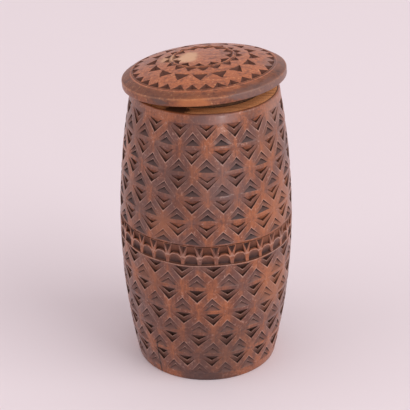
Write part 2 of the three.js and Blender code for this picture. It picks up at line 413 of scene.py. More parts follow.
def finished_object(mesh: bpy.types.Mesh, material: bpy.types.Material, crease: float) -> bpy.types.Object:
    """Object from a closed mesh, with its faces turned out and its creases sharp.

    Args:
        mesh: Welded mesh.
        material: Its finish.
        crease: Angle in degrees over which an edge stays sharp.

    Returns:
        The object, linked to the scene.
    """
    piece = bpy.data.objects.new(mesh.name, mesh)
    bpy.context.scene.collection.objects.link(piece)
    bpy.context.view_layer.objects.active = piece
    piece.select_set(True)
    bpy.ops.object.mode_set(mode="EDIT")
    bpy.ops.mesh.select_all(action="SELECT")
    bpy.ops.mesh.normals_make_consistent(inside=False)
    bpy.ops.object.mode_set(mode="OBJECT")
    piece.select_set(False)
    mesh.polygons.foreach_set("use_smooth", np.ones(len(mesh.polygons), dtype=bool))
    mesh.set_sharp_from_angle(angle=math.radians(crease))
    mesh.materials.append(material)
    LOG.info("%s: %d points, %d faces", mesh.name, len(mesh.vertices), len(mesh.polygons))
    return piece


@dataclass(frozen=True)
class Barrel:
    """Uncut form of the jar's body."""

    height: float = 180.0
    foot: float = 43.7
    belly: float = 53.1
    belly_height: float = 88.0
    mouth: float = 44.3
    rim_round: float = 1.2
    foot_round: float = 0.8
    bore: float = 34.5
    bore_depth: float = 14.0
    cavity: float = 40.0
    floor: float = 36.0
    rebate: float = 38.5
    seat: float = 8.9

    def radius(self, height: Array) -> Array:
        """Radius of the uncut wall: one parabola from the belly to the mouth and one to the foot.

        Args:
            height: Heights above the foot.

        Returns:
            The radii.
        """
        above = height > self.belly_height
        end = np.where(above, self.mouth, self.foot)
        reach = np.where(above, self.height - self.belly_height, self.belly_height)
        return self.belly - (self.belly - end) * ((height - self.belly_height) / reach) ** 2

    def depth(self, radius: float, height: float) -> float:
        """Depth of a point under the uncut wall.

        Args:
            radius: Radius of the point.
            height: Height of the point.

        Returns:
            Distance from the wall towards the axis.
        """
        return float(self.radius(np.array(height))) - radius

    def inside(self, height: float) -> float:
        """Radius of the hollow: parabolas from its widest place to the bore and to the floor.

        Args:
            height: Height above the foot, below the bore.

        Returns:
            The radius.
        """
        above = height > self.belly_height
        end = self.bore if above else self.floor
        top = self.height - self.bore_depth
        reach = top - self.belly_height if above else self.belly_height - self.seat
        return self.cavity - (self.cavity - end) * ((height - self.belly_height) / reach) ** 2

    def spot(self, across: float, up: float, depth: float = 0.0, **marks: float) -> Array:
        """Point of a template on the wall.

        Args:
            across: Distance to the right of the template's middle, measured at the belly.
            up: Height above the template's middle.
            depth: Depth under the uncut wall.
            marks: Marks that the point carries.

        Returns:
            The point's channels.
        """
        return point(across / self.belly, up, depth, **marks)


@dataclass(frozen=True)
class Facets:
    """Pieces that the edges of the carving are cut into."""

    side: int = 6
    ledge: tuple[float, ...] = (0.0, 0.18, 0.76, 1.0)
    nest: int = 5
    wall: int = 2
    arris: int = 2
    strap: int = 4
    bar: int = 2
    scoop: int = 5
    arch: int = 4


@dataclass(frozen=True)
class ChipField:
    """Field of staggered diamonds: each is a chip that points up, a bar, and a chip that points down."""

    barrel: Barrel
    bottom: float
    top: float
    phase: float
    columns: int = 18
    rows: int = 6
    bar: float = 2.2
    rise_up: float = 7.9
    rise_down: float = 8.7
    gap_up: float = 2.3
    gap_down: float = 1.0
    wall_run: float = 0.3
    ledge_depth: float = 1.2
    nest: float = 0.6
    nest_rise: float = 0.52
    nest_depth: float = 2.4
    arris: float = 0.25
    bar_film: float = 0.25
    up_pocket: float = 0.7
    down_pocket: float = 0.1
    down_ledge: float = 0.0
    apex_wear: float = 0.9
    corner_wear: float = 0.38
    # Darkness of the chips' walls, nests and ledges: dirt and painted shade in the cuts.
    wall_dirt_and_shade: float = 0.9
    nest_dirt_and_shade: float = 0.8
    nest_cut: float = 0.8
    ledge_dirt_and_shade: float = 0.4
    dirt_and_shade_power: float = 0.6
    sill_cut: float = 0.6
    sill_dust: float = 0.8
    strap_film: float = 0.35
    facets: Facets = Facets()

    @property
    def step(self) -> float:
        """Distance between diamonds of a row, at the belly."""
        return TURN * self.barrel.belly / self.columns

    @property
    def half_up(self) -> float:
        """Half the width of a chip that points up."""
        return (self.step - self.gap_up) / 2.0

    @property
    def half_down(self) -> float:
        """Half the width of a chip that points down."""
        return (self.step - self.gap_down) / 2.0

    @property
    def pitch(self) -> float:
        """Distance between rows."""
        return (self.top - self.bottom + self.bar) / (self.rows - 1)

    def angles(self, row: int) -> Array:
        """Middle angles of a row's diamonds.

        Args:
            row: Row, counted from the top.

        Returns:
            One angle for each column.
        """
        return math.radians(self.phase) + (np.arange(self.columns) + row % 2 / 2.0) * TURN / self.columns

    def height(self, row: int) -> float:
        """Middle height of a row's bars.

        Args:
            row: Row, counted from the top.

        Returns:
            The height.
        """
        return self.top + self.bar / 2.0 - row * self.pitch

    def base_line(self, half: float, up: float, depth: float = 0.0, **marks: float) -> Array:
        """Row of points along a chip's base line, with the corners of its nested chip among them.

        Args:
            half: Half the width of the line.
            up: Height of the line.
            depth: Depth of the line.
            marks: Marks that the points carry.

        Returns:
            The points from left to right.
        """
        f = self.facets
        ledge = -1.0 + (1.0 - self.nest) * np.array(f.ledge)
        middle = np.linspace(-self.nest, self.nest, f.nest + 1)[1:-1]
        shares = np.concatenate([ledge, middle, -ledge[::-1]])
        row = np.tile(self.barrel.spot(0.0, up, depth, **marks), (len(shares), 1))
        row[:, Channel.ANGLE.value] = shares * half / self.barrel.belly
        return row

    def chip(
        self, half: float, rise: float, nest_dark: float, ledge_dark: float, dust: float
    ) -> Iterator[Array]:
        """Patches of a chip that points up from a base line at height 0.

        The outline is rounded off by a narrow arris. Inside it the floor falls from the base line to a
        steep V-shaped wall, and a smaller, deeper chip is nested on the same line.

        Args:
            half: Half its width.
            rise: Height of its apex.
            nest_dark: How dark the nested chip is along the base line.
            ledge_dark: How dark the floor round the nested chip is.
            dust: How much dust lies on its floors.

        Yields:
            The patches of the left half and the middle, and the mirrored right half.
        """
        spot, f, dark = self.barrel.spot, self.facets, Channel.DARK.value
        deep = np.linspace(0.0, 1.0, f.side + 1) ** self.dirt_and_shade_power
        inner = half * rise / (half + math.hypot(half, rise))
        shrink = 1.0 - self.arris / inner
        low = inner * (1.0 - shrink)
        tip = spot(0.0, rise, edge=self.apex_wear)
        apex = inner + (rise - inner) * shrink
        top = spot(0.0, apex, self.arris, cut=1.0, dark=self.wall_dirt_and_shade, film=1.0, dust=dust)
        outer = self.base_line(half, 0.0, film=self.bar_film)
        marks = {"film": self.bar_film, "cut": self.sill_cut * dust, "dust": self.sill_dust * dust}
        within = self.base_line(half * shrink, low, self.arris, **marks)
        # Its depth and its marks fade out towards both ends of the line.
        share = np.abs(within[:, 0]) / within[-1, 0]
        within[:, 2:] *= np.minimum(2.0 * (1.0 - share) / (1.0 - self.nest), 1.0)[:, None]
        yield ruled(outer, within, f.arris, ROUNDED)
        left, right = spot(-half, 0.0, edge=self.corner_wear), within[0].copy()
        foot = spot(0.0, top[1] - self.wall_run, self.ledge_depth, cut=1.0, dark=1.0, film=1.0, dust=dust)
        corner = len(f.ledge) - 1
        nest_left = within[corner].copy()
        nest_left[dark] = self.nest_dirt_and_shade
        nest_left[Channel.EDGE.value] = ledge_dark
        edge_depth = self.arris + (self.ledge_depth - self.arris) * self.nest_rise
        nest_top = low + (foot[1] - low) * self.nest_rise
        nest_tip = spot(0.0, nest_top, edge_depth, edge=1.0, cut=self.nest_cut, film=1.0, dust=dust)
        nest_foot = spot(0.0, nest_tip[1] - self.wall_run, self.nest_depth, cut=1.0, dark=1.0, dust=dust)
        hollow = ruled(within[corner:corner + f.nest + 1], line(nest_foot, nest_foot, f.nest), f.side)
        hollow[1:, :, dark] = nest_dark + (1.0 - nest_dark) * np.linspace(0.0, 1.0, f.side)[:, None] ** 2
        hollow[0, 1:-1, dark] = nest_dark
        hollow[..., Channel.DUST.value] = dust
        yield hollow
        ledge = ruled(line(right, foot, f.side), line(nest_left, nest_tip, f.side), f.ledge)
        # The ledge's first column lies on the base line.
        ledge[:, 0, :3] = within[:corner + 1, :3]
        # The ledge darkens towards the V-shaped wall: dirt and painted shade.
        ledge[0, :, dark] = deep
        ledge[1, :, dark] = max(self.ledge_dirt_and_shade, ledge_dark) * deep
        ledge[2:, :, dark] = ledge_dark * deep
        wall = ruled(line(right, foot, f.side), line(right, top, f.side), f.wall)
        wall[..., dark] = deep
        sides = (
            ruled(line(left, tip, f.side), line(right, top, f.side), f.arris, ROUNDED),
            ledge,
            wall,
            ruled(line(nest_left, nest_foot, f.side), line(nest_left, nest_tip, f.side), f.wall),
        )
        for side in sides:
            yield side
            yield mirrored(side, Channel.ANGLE)

    def straps(self) -> Iterator[Array]:
        """Patches of the two straps that run down from a diamond.

        They lie between its lower chip and the chips of the next row.

        Yields:
            The right strap and its mirrored fellow.
        """
        spot, f = self.barrel.spot, self.facets
        near_top = spot(self.half_down, -self.bar / 2.0)
        near_end = spot(0.0, -self.bar / 2.0 - self.rise_down)
        far_top = spot(self.step / 2.0, self.bar / 2.0 + self.rise_up - self.pitch)
        far_end = spot(self.step / 2.0 - self.half_up, self.bar / 2.0 - self.pitch)
        strap = ruled(line(near_top, near_end, f.side), line(far_top, far_end, f.side), f.strap)
        along = np.linspace(-1.0, 1.0, f.side + 1)
        strap[..., Channel.FILM.value] = self.strap_film - self.strap_film * along**2
        yield strap
        yield mirrored(strap, Channel.ANGLE)

    def crossing(self) -> Array:
        """Patch where straps cross, between a diamond and the next one of its row.

        Returns:
            The patch, six-sided, ruled between its left and its right side.
        """
        spot, f = self.barrel.spot, self.facets
        below = spot(self.step / 2.0, self.bar / 2.0 + self.rise_up - self.pitch)
        above = spot(self.step / 2.0, self.pitch - self.bar / 2.0 - self.rise_down)
        lower, upper = spot(self.half_down, -self.bar / 2.0), spot(self.half_up, self.bar / 2.0)
        onward = spot(self.step, 0.0)
        next_lower = onward + spot(-self.half_down, -self.bar / 2.0)
        next_upper = onward + spot(-self.half_up, self.bar / 2.0)
        left = path([below, lower, upper], (f.strap, f.bar))
        right = path([next_lower, next_upper, above], (f.bar, f.strap))
        return ruled(left, right, f.strap)

    def half_crossing(self, half: float, rise: float) -> Array:
        """Patch of the half crossing under the field's top edge.

        Args:
            half: Half the width of the chips on the edge.
            rise: Rise of the chip whose apex it ends at.

        Returns:
            The patch, three-sided, with the middle of its upper side as a fourth corner.
        """
        spot, f = self.barrel.spot, self.facets
        up = -self.bar / 2.0
        below = spot(self.step / 2.0, self.bar / 2.0 + rise - self.pitch)
        left, middle = spot(half, up), spot(self.step / 2.0, up)
        right = spot(self.step - half, up)
        return ruled(line(below, right, f.strap), line(left, middle, f.strap), f.strap)

    def edge_ring(self, row: int) -> Array:
        """Ring of points along the field's top or bottom edge.

        Args:
            row: First or last row.

        Returns:
            The ring, in order of angle.
        """
        spot, f = self.barrel.spot, self.facets
        half, up = (self.half_down, -self.bar / 2.0) if row == 0 else (self.half_up, self.bar / 2.0)
        gap_ends = [spot(half, up), spot(self.step / 2.0, up), spot(self.step - half, up)]
        gap = path(gap_ends, (f.strap, f.strap))
        template = np.concatenate([self.base_line(half, up)[:-1], gap[:-1]])
        return repeated(template, self.angles(row), self.height(row)).reshape(-1, len(Channel))

    def gather(self, work: Patchwork) -> None:
        """Gather the whole field.

        Args:
            work: Patchwork that takes it.
        """
        last = self.rows - 1
        lift = self.barrel.spot(0.0, self.bar / 2.0)
        dusty_chip = self.chip(self.half_up, self.rise_up, self.up_pocket, 0.0, 1.0)
        up_chip = [patch + lift for patch in dusty_chip]
        turned_chip = self.chip(self.half_down, self.rise_down, self.down_pocket, self.down_ledge, 0.0)
        down_chip = [mirrored(patch + lift, Channel.PLACE) for patch in turned_chip]
        lower = self.base_line(self.half_down, -lift[1], film=self.bar_film)
        upper = self.base_line(self.half_up, lift[1], film=self.bar_film)
        bar = ruled(lower, upper, self.facets.bar)
        for row in range(self.rows):
            angles, height = self.angles(row), self.height(row)
            shown: list[Array] = []
            if row != 0:
                shown += up_chip
            if row != last:
                shown += [*down_chip, *self.straps()]
            if row == 0:
                shown.append(self.half_crossing(self.half_down, self.rise_up))
            elif row == last:
                shown.append(mirrored(self.half_crossing(self.half_up, self.rise_down), Channel.PLACE))
            else:
                shown += [bar, self.crossing()]
            for patch in shown:
                work.add(repeated(patch, angles, height))


@dataclass(frozen=True)
class GougeBand:
    """Band of thumbnail cuts: arches on its lower edge, a scoop over each, and pendants between them."""

    barrel: Barrel
    bottom: float = 87.0
    height: float = 12.0
    repeats: int = 34
    phase: float = 0.5
    arch_width: float = 7.8
    arch_height: float = 6.2
    ridge: float = 0.5
    spread: float = 0.7
    top_width: float = 4.2
    pendant_width: float = 5.1
    pendant_rise: float = 6.4
    heart: float = 0.3
    depth: float = 1.5
    run: float = 0.5
    fullness: float = 0.72
    arch_wear: float = 0.42
    crown_wear: float = 0.68
    hip_wear: float = 0.5
    tip_wear: float = 0.5
    corner_wear: float = 0.52
    sill_cut: float = 0.6
    sill_dark: float = 0.5
    top_cut: float = 0.9
    top_dark: float = 0.4
    bed_dark: float = 0.78
    scoop_shares: tuple[float, ...] = (0.0, 0.08, 0.3, 0.6, 0.8, 1.0)
    scoop_bend: float = 0.8
    scoop_dark: tuple[float, float] = (0.55, 0.76)
    scoop_dust: tuple[float, float] = (0.3, 0.75)
    pendant_shares: tuple[float, ...] = (0.0, 0.12, 0.5, 1.0)
    pendant_dark: tuple[float, float] = (0.58, 0.78)
    pendant_dust: float = 0.8
    facets: Facets = Facets()

    @property
    def step(self) -> float:
        """Distance between arches, at the belly."""
        return TURN * self.barrel.belly / self.repeats

    @property
    def slant(self) -> float:
        """Share of an arch's half width that its curve has reached at 45 degrees."""
        return math.sqrt(0.5) ** self.fullness

    def angles(self) -> Array:
        """Middle angles of the arches.

        Returns:
            One angle for each repeat.
        """
        return math.radians(self.phase) + np.arange(self.repeats) * TURN / self.repeats

    def curve(self, turn: Array, wide: float, tall: float, rest: Array) -> Array:
        """Round arch on the band's lower edge, from right to left: half an ellipse with fuller corners.

        Args:
            turn: Angles along the arch.
            wide: Half its width.
            tall: Its height.
            rest: Point that the curve is counted from, which gives its depth and marks too.

        Returns:
            The points.
        """
        across, up = np.cos(turn), np.sin(turn)
        curve = np.tile(rest, (len(turn), 1))
        fuller = np.sign(across) * np.abs(across) ** self.fullness
        curve[:, Channel.ANGLE.value] += wide / self.barrel.belly * fuller
        curve[:, Channel.PLACE.value] += tall * np.abs(up) ** self.fullness
        return curve

    def patches(self) -> Iterator[Array]:
        """Patches of one arch, the scoop over it, and the pendant and stem on its right.

        Yields:
            The patches, with the arch's middle on the lower edge as their origin.
        """
        spot, f = self.barrel.spot, self.facets
        half, slant, dark = self.arch_width / 2.0, self.slant, Channel.DARK.value
        turn = np.linspace(0.0, math.pi, 4 * f.arch + 1)
        # The crown is the middle half of an arch.
        crown = slice(f.arch, 3 * f.arch + 1)
        rim = self.curve(turn, half, self.arch_height, spot(0.0, 0.0, edge=self.arch_wear))
        rim[crown, Channel.EDGE.value] = self.crown_wear
        marks = {"cut": 1.0, "dark": self.scoop_dark[1], "dust": self.scoop_dust[1]}
        deep = self.curve(turn, half - self.run, 0.0, spot(0.0, self.run, self.depth, **marks))
        sill = self.curve(turn, half, 0.0, spot(0.0, 0.0, cut=self.sill_cut, dark=self.sill_dark))
        scoop = ruled(rim, deep, self.scoop_shares, self.scoop_bend)
        scoop[1:, :, dark] = np.linspace(*self.scoop_dark, len(scoop) - 1)[:, None]
        scoop[1:, :, Channel.DUST.value] = np.linspace(*self.scoop_dust, len(scoop) - 1)[:, None]
        yield scoop
        yield ruled(sill, deep, self.scoop_shares, self.scoop_bend)

        # Scoop over the arch, behind a narrow ridge.
        wide = half + self.spread
        hip = self.curve(turn, wide, self.arch_height, spot(0.0, self.ridge, edge=self.hip_wear))[crown]
        sunk = spot(0.0, self.ridge + self.run, self.depth, cut=1.0, dark=self.bed_dark)
        bed = self.curve(turn, wide - self.run / slant, self.arch_height, sunk)[crown]
        edge = spot(0.0, self.height, cut=self.top_cut, dark=self.top_dark)
        top = self.curve(turn, self.top_width / 2.0 / slant, 0.0, edge)[crown]
        yield ruled(rim[crown], hip, 1)
        over = ruled(top, bed, f.scoop)
        way = np.linspace(0.0, 1.0, f.scoop + 1)[:, None]
        over[..., dark] = self.top_dark + (self.bed_dark - self.top_dark) * way**2
        yield over
        yield ruled(hip, bed, f.wall)
        side = ruled(line(top[0], hip[0], f.scoop), line(top[0], bed[0], f.scoop), f.wall)
        yield side
        yield mirrored(side, Channel.ANGLE)

        # Pendant that hangs from the upper edge.
        middle, up = self.step / 2.0, self.height
        tip = spot(middle, self.pendant_rise, edge=self.tip_wear)
        reach = self.pendant_width / 2.0
        left, right = (spot(middle + way * reach, up, edge=self.corner_wear) for way in (-1.0, 1.0))
        marks = {"cut": 1.0, "dark": self.pendant_dark[1], "dust": self.pendant_dust}
        heart = spot(middle, up - (up - self.pendant_rise) * self.heart, self.depth, **marks)
        outline = path([tip, right, left, tip], (f.scoop, f.arch, f.scoop))
        pendant = ruled(outline, line(heart, heart, len(outline) - 1), self.pendant_shares)
        pendant[1:, :, Channel.CUT.value] = 1.0
        pendant[1:, :, dark] = np.linspace(*self.pendant_dark, len(pendant) - 1)[:, None]
        yield pendant

        # Stem between this arch and the next, and the flats on both sides of the pendant.
        onward = spot(self.step, 0.0)
        feet = slice(0, f.arch + 1)
        other = mirrored(rim, Channel.ANGLE) + onward
        yield ruled(rim[feet], other[feet], f.bar + 1)
        spring, next_spring = rim[f.arch], other[f.arch]
        yield ruled(line(spring, next_spring, f.bar + 1), line(tip, tip, f.bar + 1), 1)
        flank = (
            ruled(line(hip[0], tip, f.bar), line(spring, spring, f.bar), 1),
            ruled(line(hip[0], top[0], f.scoop), line(tip, left, f.scoop), f.bar),
        )
        for patch in flank:
            yield patch
            yield mirrored(patch, Channel.ANGLE) + onward

    def edge_ring(self, at_top: bool) -> Array:
        """Ring of points along one edge of the band.

        Args:
            at_top: True for the upper edge.

        Returns:
            The ring, in order of angle.
        """
        spot, f = self.barrel.spot, self.facets
        turn = np.linspace(math.pi, 0.0, 4 * f.arch + 1)
        if at_top:
            wide = self.top_width / 2.0 / self.slant
            row = self.curve(turn, wide, 0.0, spot(0.0, self.height))[f.arch:3 * f.arch + 1]
            middle, half = self.step / 2.0, self.pendant_width / 2.0
            ends = [row[-1]] + [spot(middle + side * half, self.height) for side in (-1.0, 1.0)]
            ends.append(row[0] + spot(self.step, 0.0))
            gap = path(ends, (f.bar, f.arch, f.bar))
        else:
            row = self.curve(turn, self.arch_width / 2.0, 0.0, spot(0.0, 0.0))
            gap = line(row[-1], row[0] + spot(self.step, 0.0), f.bar + 1)
        template = np.concatenate([row[:-1], gap[:-1]])
        return repeated(template, self.angles(), self.bottom).reshape(-1, len(Channel))

    def gather(self, work: Patchwork) -> None:
        """Gather the whole band.

        Args:
            work: Patchwork that takes it.
        """
        for patch in self.patches():
            work.add(repeated(patch, self.angles(), self.bottom))


@dataclass(frozen=True)
class CarvedWall:
    """The jar's hollow body with all its carving."""

    barrel: Barrel = Barrel()
    foot_height: float = 5.8
    neck_height: float = 5.8
    groove_width: float = 0.7
    groove_depth: float = 0.6
    band_strip: float = 0.7
    lower_phase: float = 4.0
    upper_phase: float = 1.0
    neck_rings: int = 7
    foot_rings: int = 6
    round_rings: int = 5
    cavity_rings: int = 9
    groove_dirt_and_shade: float = 0.9
    lower_wear: float = 0.8
    upper_wear: float = 0.25
    rim_raw: float = 0.2
    rim_dirt: float = 0.7
    stain_reach: float = 0.6
    still_ends: float = 8.0
    still_depth: float = 4.5
    crease: float = 48.0
    sideways: Wobble = Wobble(seed=11, reach=0.55, turns=12, pitch=30.0)
    upward: Wobble = Wobble(seed=12, reach=0.5, turns=12, pitch=30.0)
    deeper: Wobble = Wobble(seed=13, reach=0.3, turns=36, pitch=9.0)
    hollows: Wobble = Wobble(seed=14, reach=0.12, turns=24, pitch=14.0)

    def place(self, points: Array) -> Array:
        """Gathered points of the wall as places in space.

        The carving is shifted by smooth wobbles, sideways, upwards and in depth, which fade out towards the
        rim, the foot and the inside.

        Args:
            points: Points, channels last.

        Returns:
            Their places, in millimetres.
        """
        b = self.barrel
        angle, height, depth = points[:, 0], points[:, 1], points[:, 2]
        fade = smooth_step(b.foot_round, b.foot_round + self.still_ends, height)
        top = b.height - b.rim_round
        fade = fade * smooth_step(-top, self.still_ends - top, -height)
        fade = fade * np.clip(self.still_depth - depth, 0.0, 1.0)
        moved_depth = depth * (1.0 + fade * self.deeper(angle, height))
        moved_depth = moved_depth + fade * np.abs(self.hollows(angle, height))
        moved_height = height + fade * self.upward(angle, height)
        moved_angle = angle + fade * self.sideways(angle, height) / b.belly
        return polar(moved_angle, b.radius(moved_height) - moved_depth, moved_height)

    def turned(self, work: Patchwork, ring: Array, profile: Sequence[tuple[float, ...]]) -> list[Array]:
        """Gather a plain turned stretch that starts at a ring of the carving.

        Args:
            work: Patchwork that takes it.
            ring: Ring that it starts from.
            profile: Radius, height, raw mark and, where it has one, dark mark of each further ring.

        Returns:
            All its rings.
        """
        rings = [ring]
        rings += [ring_at(ring, z, self.barrel.depth(r, z), *marks) for r, z, *marks in profile]
        work.loft(rings)
        return rings

    def build(self, material: bpy.types.Material) -> bpy.types.Object:
        """Make the body.

        Args:
            material: Its finish.

        Returns:
            The object.
        """
        b, work = self.barrel, Patchwork()
        band = GougeBand(b)
        band_top = band.bottom + band.height
        edge = self.groove_width + self.band_strip
        lower = ChipField(
            b, self.foot_height, band.bottom - edge, self.lower_phase,
            rise_up=8.8, gap_up=1.9, up_pocket=0.2, down_pocket=0.8, down_ledge=0.55,
        )
        upper = ChipField(b, band_top + edge, b.height - self.neck_height, self.upper_phase)
        for carving in (lower, upper, band):
            carving.gather(work)
        last = lower.rows - 1
        # Grooves along both edges of the band.
        for ring, other, start, way, worn in (
            (lower.edge_ring(0), band.edge_ring(False), band.bottom, -1.0, self.lower_wear),
            (upper.edge_ring(last), band.edge_ring(True), band_top, 1.0, self.upper_wear),
        ):
            lip = ring_at(ring, start + way * self.groove_width, 0.0, edge=worn)
            low = start + way * self.groove_width / 2.0
            # The groove's floor is darkened: dirt and painted shade.
            floor = ring_at(ring, low, self.groove_depth, dark=self.groove_dirt_and_shade)
            work.loft([ring, lip, floor])
            work.bridge(floor, other)

        # Neck, rim, bore and hollow.
        heights = np.linspace(b.height - self.neck_height, b.height - b.rim_round, self.neck_rings)[1:]
        neck = [(float(b.radius(z)), float(z), 0.0) for z in heights]
        turns = np.linspace(0.0, math.pi / 2.0, self.round_rings)[1:]
        side = float(b.radius(np.array(b.height - b.rim_round)))
        lip = b.mouth - b.rim_round
        rim = [
            (lip + (side - lip) * math.cos(t), b.height - b.rim_round * (1.0 - math.sin(t)), 0.0)
            for t in turns[:-1]
        ]
        rim += [(lip, b.height, self.rim_raw, self.rim_dirt), (lip - self.stain_reach, b.height, 1.0)]
        rim += [((lip + b.bore) / 2.0, b.height, 1.0), (b.bore, b.height, 1.0)]
        bore_end = b.height - b.bore_depth
        heights = np.linspace(bore_end, b.seat, self.cavity_rings)
        hollow = [(b.inside(float(z)), float(z), 1.0) for z in heights]
        inside = self.turned(work, upper.edge_ring(0), neck + rim + hollow)[-1]

        # Foot and the rebate of the base.
        heights = np.linspace(self.foot_height, b.foot_round, self.foot_rings)[1:]
        down = [(float(b.radius(z)), float(z), 0.0) for z in heights]
        side = float(b.radius(np.array(b.foot_round)))
        base = b.foot - b.foot_round
        down += [
            (base + (side - base) * math.cos(t), b.foot_round * (1.0 - math.sin(t)), 0.0) for t in turns
        ]
        down += [(b.rebate, 0.0, 1.0), (b.rebate, b.seat, 1.0)]
        outside = self.turned(work, lower.edge_ring(last), down)[-1]
        work.loft([outside, inside])
        mesh = work.mesh("jar_wall", self.place(np.concatenate(work.points)))
        return finished_object(mesh, material, self.crease)


@dataclass(frozen=True)
class LidSeat:
    """How the lid sits on the mouth."""

    tilt: float = 5.5
    high_side: float = 55.0
    gap: float = 0.3
    plug_depth: float = 9.0
    plug_seat: float = 2.0
    plug_bevel: float = 1.0

    @property
    def plug_radius(self) -> float:
        """Radius of the plug that binds across the bore when it leans."""
        tilt = math.radians(self.tilt)
        return (Barrel().bore - self.gap - self.plug_depth * math.sin(tilt) / 2.0) / math.cos(tilt)


def seat_matrix() -> Matrix:
    """Placing of the lid, which leans with its high side at the front right.

    Returns:
        The turn and the shift, in millimetres.
    """
    b, seat = Barrel(), LidSeat()
    tilt, high_side = math.radians(seat.tilt), math.radians(seat.high_side)
    high = Vector((math.sin(high_side), -math.cos(high_side), 0.0))
    lean = seat.plug_depth * math.sin(tilt) / 2.0
    lift = b.height + seat.gap / math.cos(tilt) + (b.mouth - b.rim_round - lean) * math.tan(tilt)
    turn = Matrix.Rotation(tilt, 4, high.cross(Vector(UP)))
    return Matrix.Translation(Vector((0.0, 0.0, lift)) - high * lean) @ turn


@dataclass(frozen=True)
class ChipRing:
    """Ring of three-sided chips in the lid, with their bases on one circle and their apexes on another."""

    count: int
    phase: float
    base: float
    apex: float
    width: float
    depth: float
    base_pieces: int
    gap_pieces: int
    heart: float = 0.36
    base_dark: float = 0.65
    arris: float = 0.25
    inside: float = 0.965
    rim_wear: float = 0.4
    side_dark: float = 0.9
    side_pieces: int = 6
    arris_pieces: int = 2
    floor_pieces: int = 4

    @property
    def step(self) -> float:
        """Angle between chips."""
        return TURN / self.count

    @property
    def half(self) -> float:
        """Half the angle of a chip's base."""
        return self.width / 2.0 / self.base

    def angles(self) -> Array:
        """Middle angles of the chips.

        Returns:
            One angle for each chip.
        """
        return math.radians(self.phase) + np.arange(self.count) * self.step

    def outline(self, shrink: float, depth: float, **marks: float) -> Array:
        """Closed row of points round a chip.

        Args:
            shrink: Share of the full size, about the middle of the circle that fits in the chip.
            depth: Depth of the row.
            marks: Marks that the points carry.

        Returns:
            The points.
        """
        rise = self.apex - self.base
        reach = abs(rise)
        inner = self.width / 2.0 * reach / (self.width / 2.0 + math.hypot(self.width / 2.0, reach))
        middle = self.base + math.copysign(inner, rise)
        radii = [middle + (r - middle) * shrink for r in (self.base, self.apex)]
        half = self.half * shrink
        left, right = (point(side * half, radii[0], depth, **marks) for side in (-1.0, 1.0))
        tip = point(0.0, radii[1], depth, **marks)
        return path([left, right, tip, left], (self.base_pieces, self.side_pieces, self.side_pieces))

    def gather(self, work: Patchwork) -> None:
        """Gather the ring's chips and the flats between them.

        Args:
            work: Patchwork that takes them.
        """
        outer = self.outline(1.0, 0.0, edge=self.rim_wear)
        inner = self.outline(self.inside, self.arris, cut=1.0, dark=self.side_dark, dust=1.0)
        inner[1:self.base_pieces, Channel.DARK.value] = self.base_dark
        middle = self.base + (self.apex - self.base) * self.heart
        heart = point(0.0, middle, self.depth, cut=1.0, dark=1.0, dust=1.0)
        right, tip = point(self.half, self.base, 0.0), point(0.0, self.apex, 0.0)
        onward = point(self.step, 0.0, 0.0)
        near = line(right, tip, self.side_pieces)
        far = line(point(-self.half, self.base, 0.0) + onward, tip + onward, self.side_pieces)
        for patch in (
            ruled(outer, inner, self.arris_pieces, ROUNDED),
            ruled(inner, line(heart, heart, len(inner) - 1), self.floor_pieces),
            ruled(near, far, self.gap_pieces),
        ):
            work.add(repeated(patch, self.angles()))

    def base_ring(self) -> Array:
        """Ring of points on the circle of the bases.

        Returns:
            The ring, from the first chip's left corner on.
        """
        left, right = point(-self.half, self.base, 0.0), point(self.half, self.base, 0.0)
        corners = [left, right, left + point(self.step, 0.0, 0.0)]
        template = path(corners, (self.base_pieces, self.gap_pieces))[:-1]
        return repeated(template, self.angles()).reshape(-1, len(Channel))

    def apex_ring(self) -> Array:
        """Ring of points on the circle of the apexes.

        Returns:
            The ring, from the first chip's apex on.
        """
        tip = point(0.0, self.apex, 0.0)
        template = line(tip, tip + point(self.step, 0.0, 0.0), self.gap_pieces)[:-1]
        return repeated(template, self.angles()).reshape(-1, len(Channel))


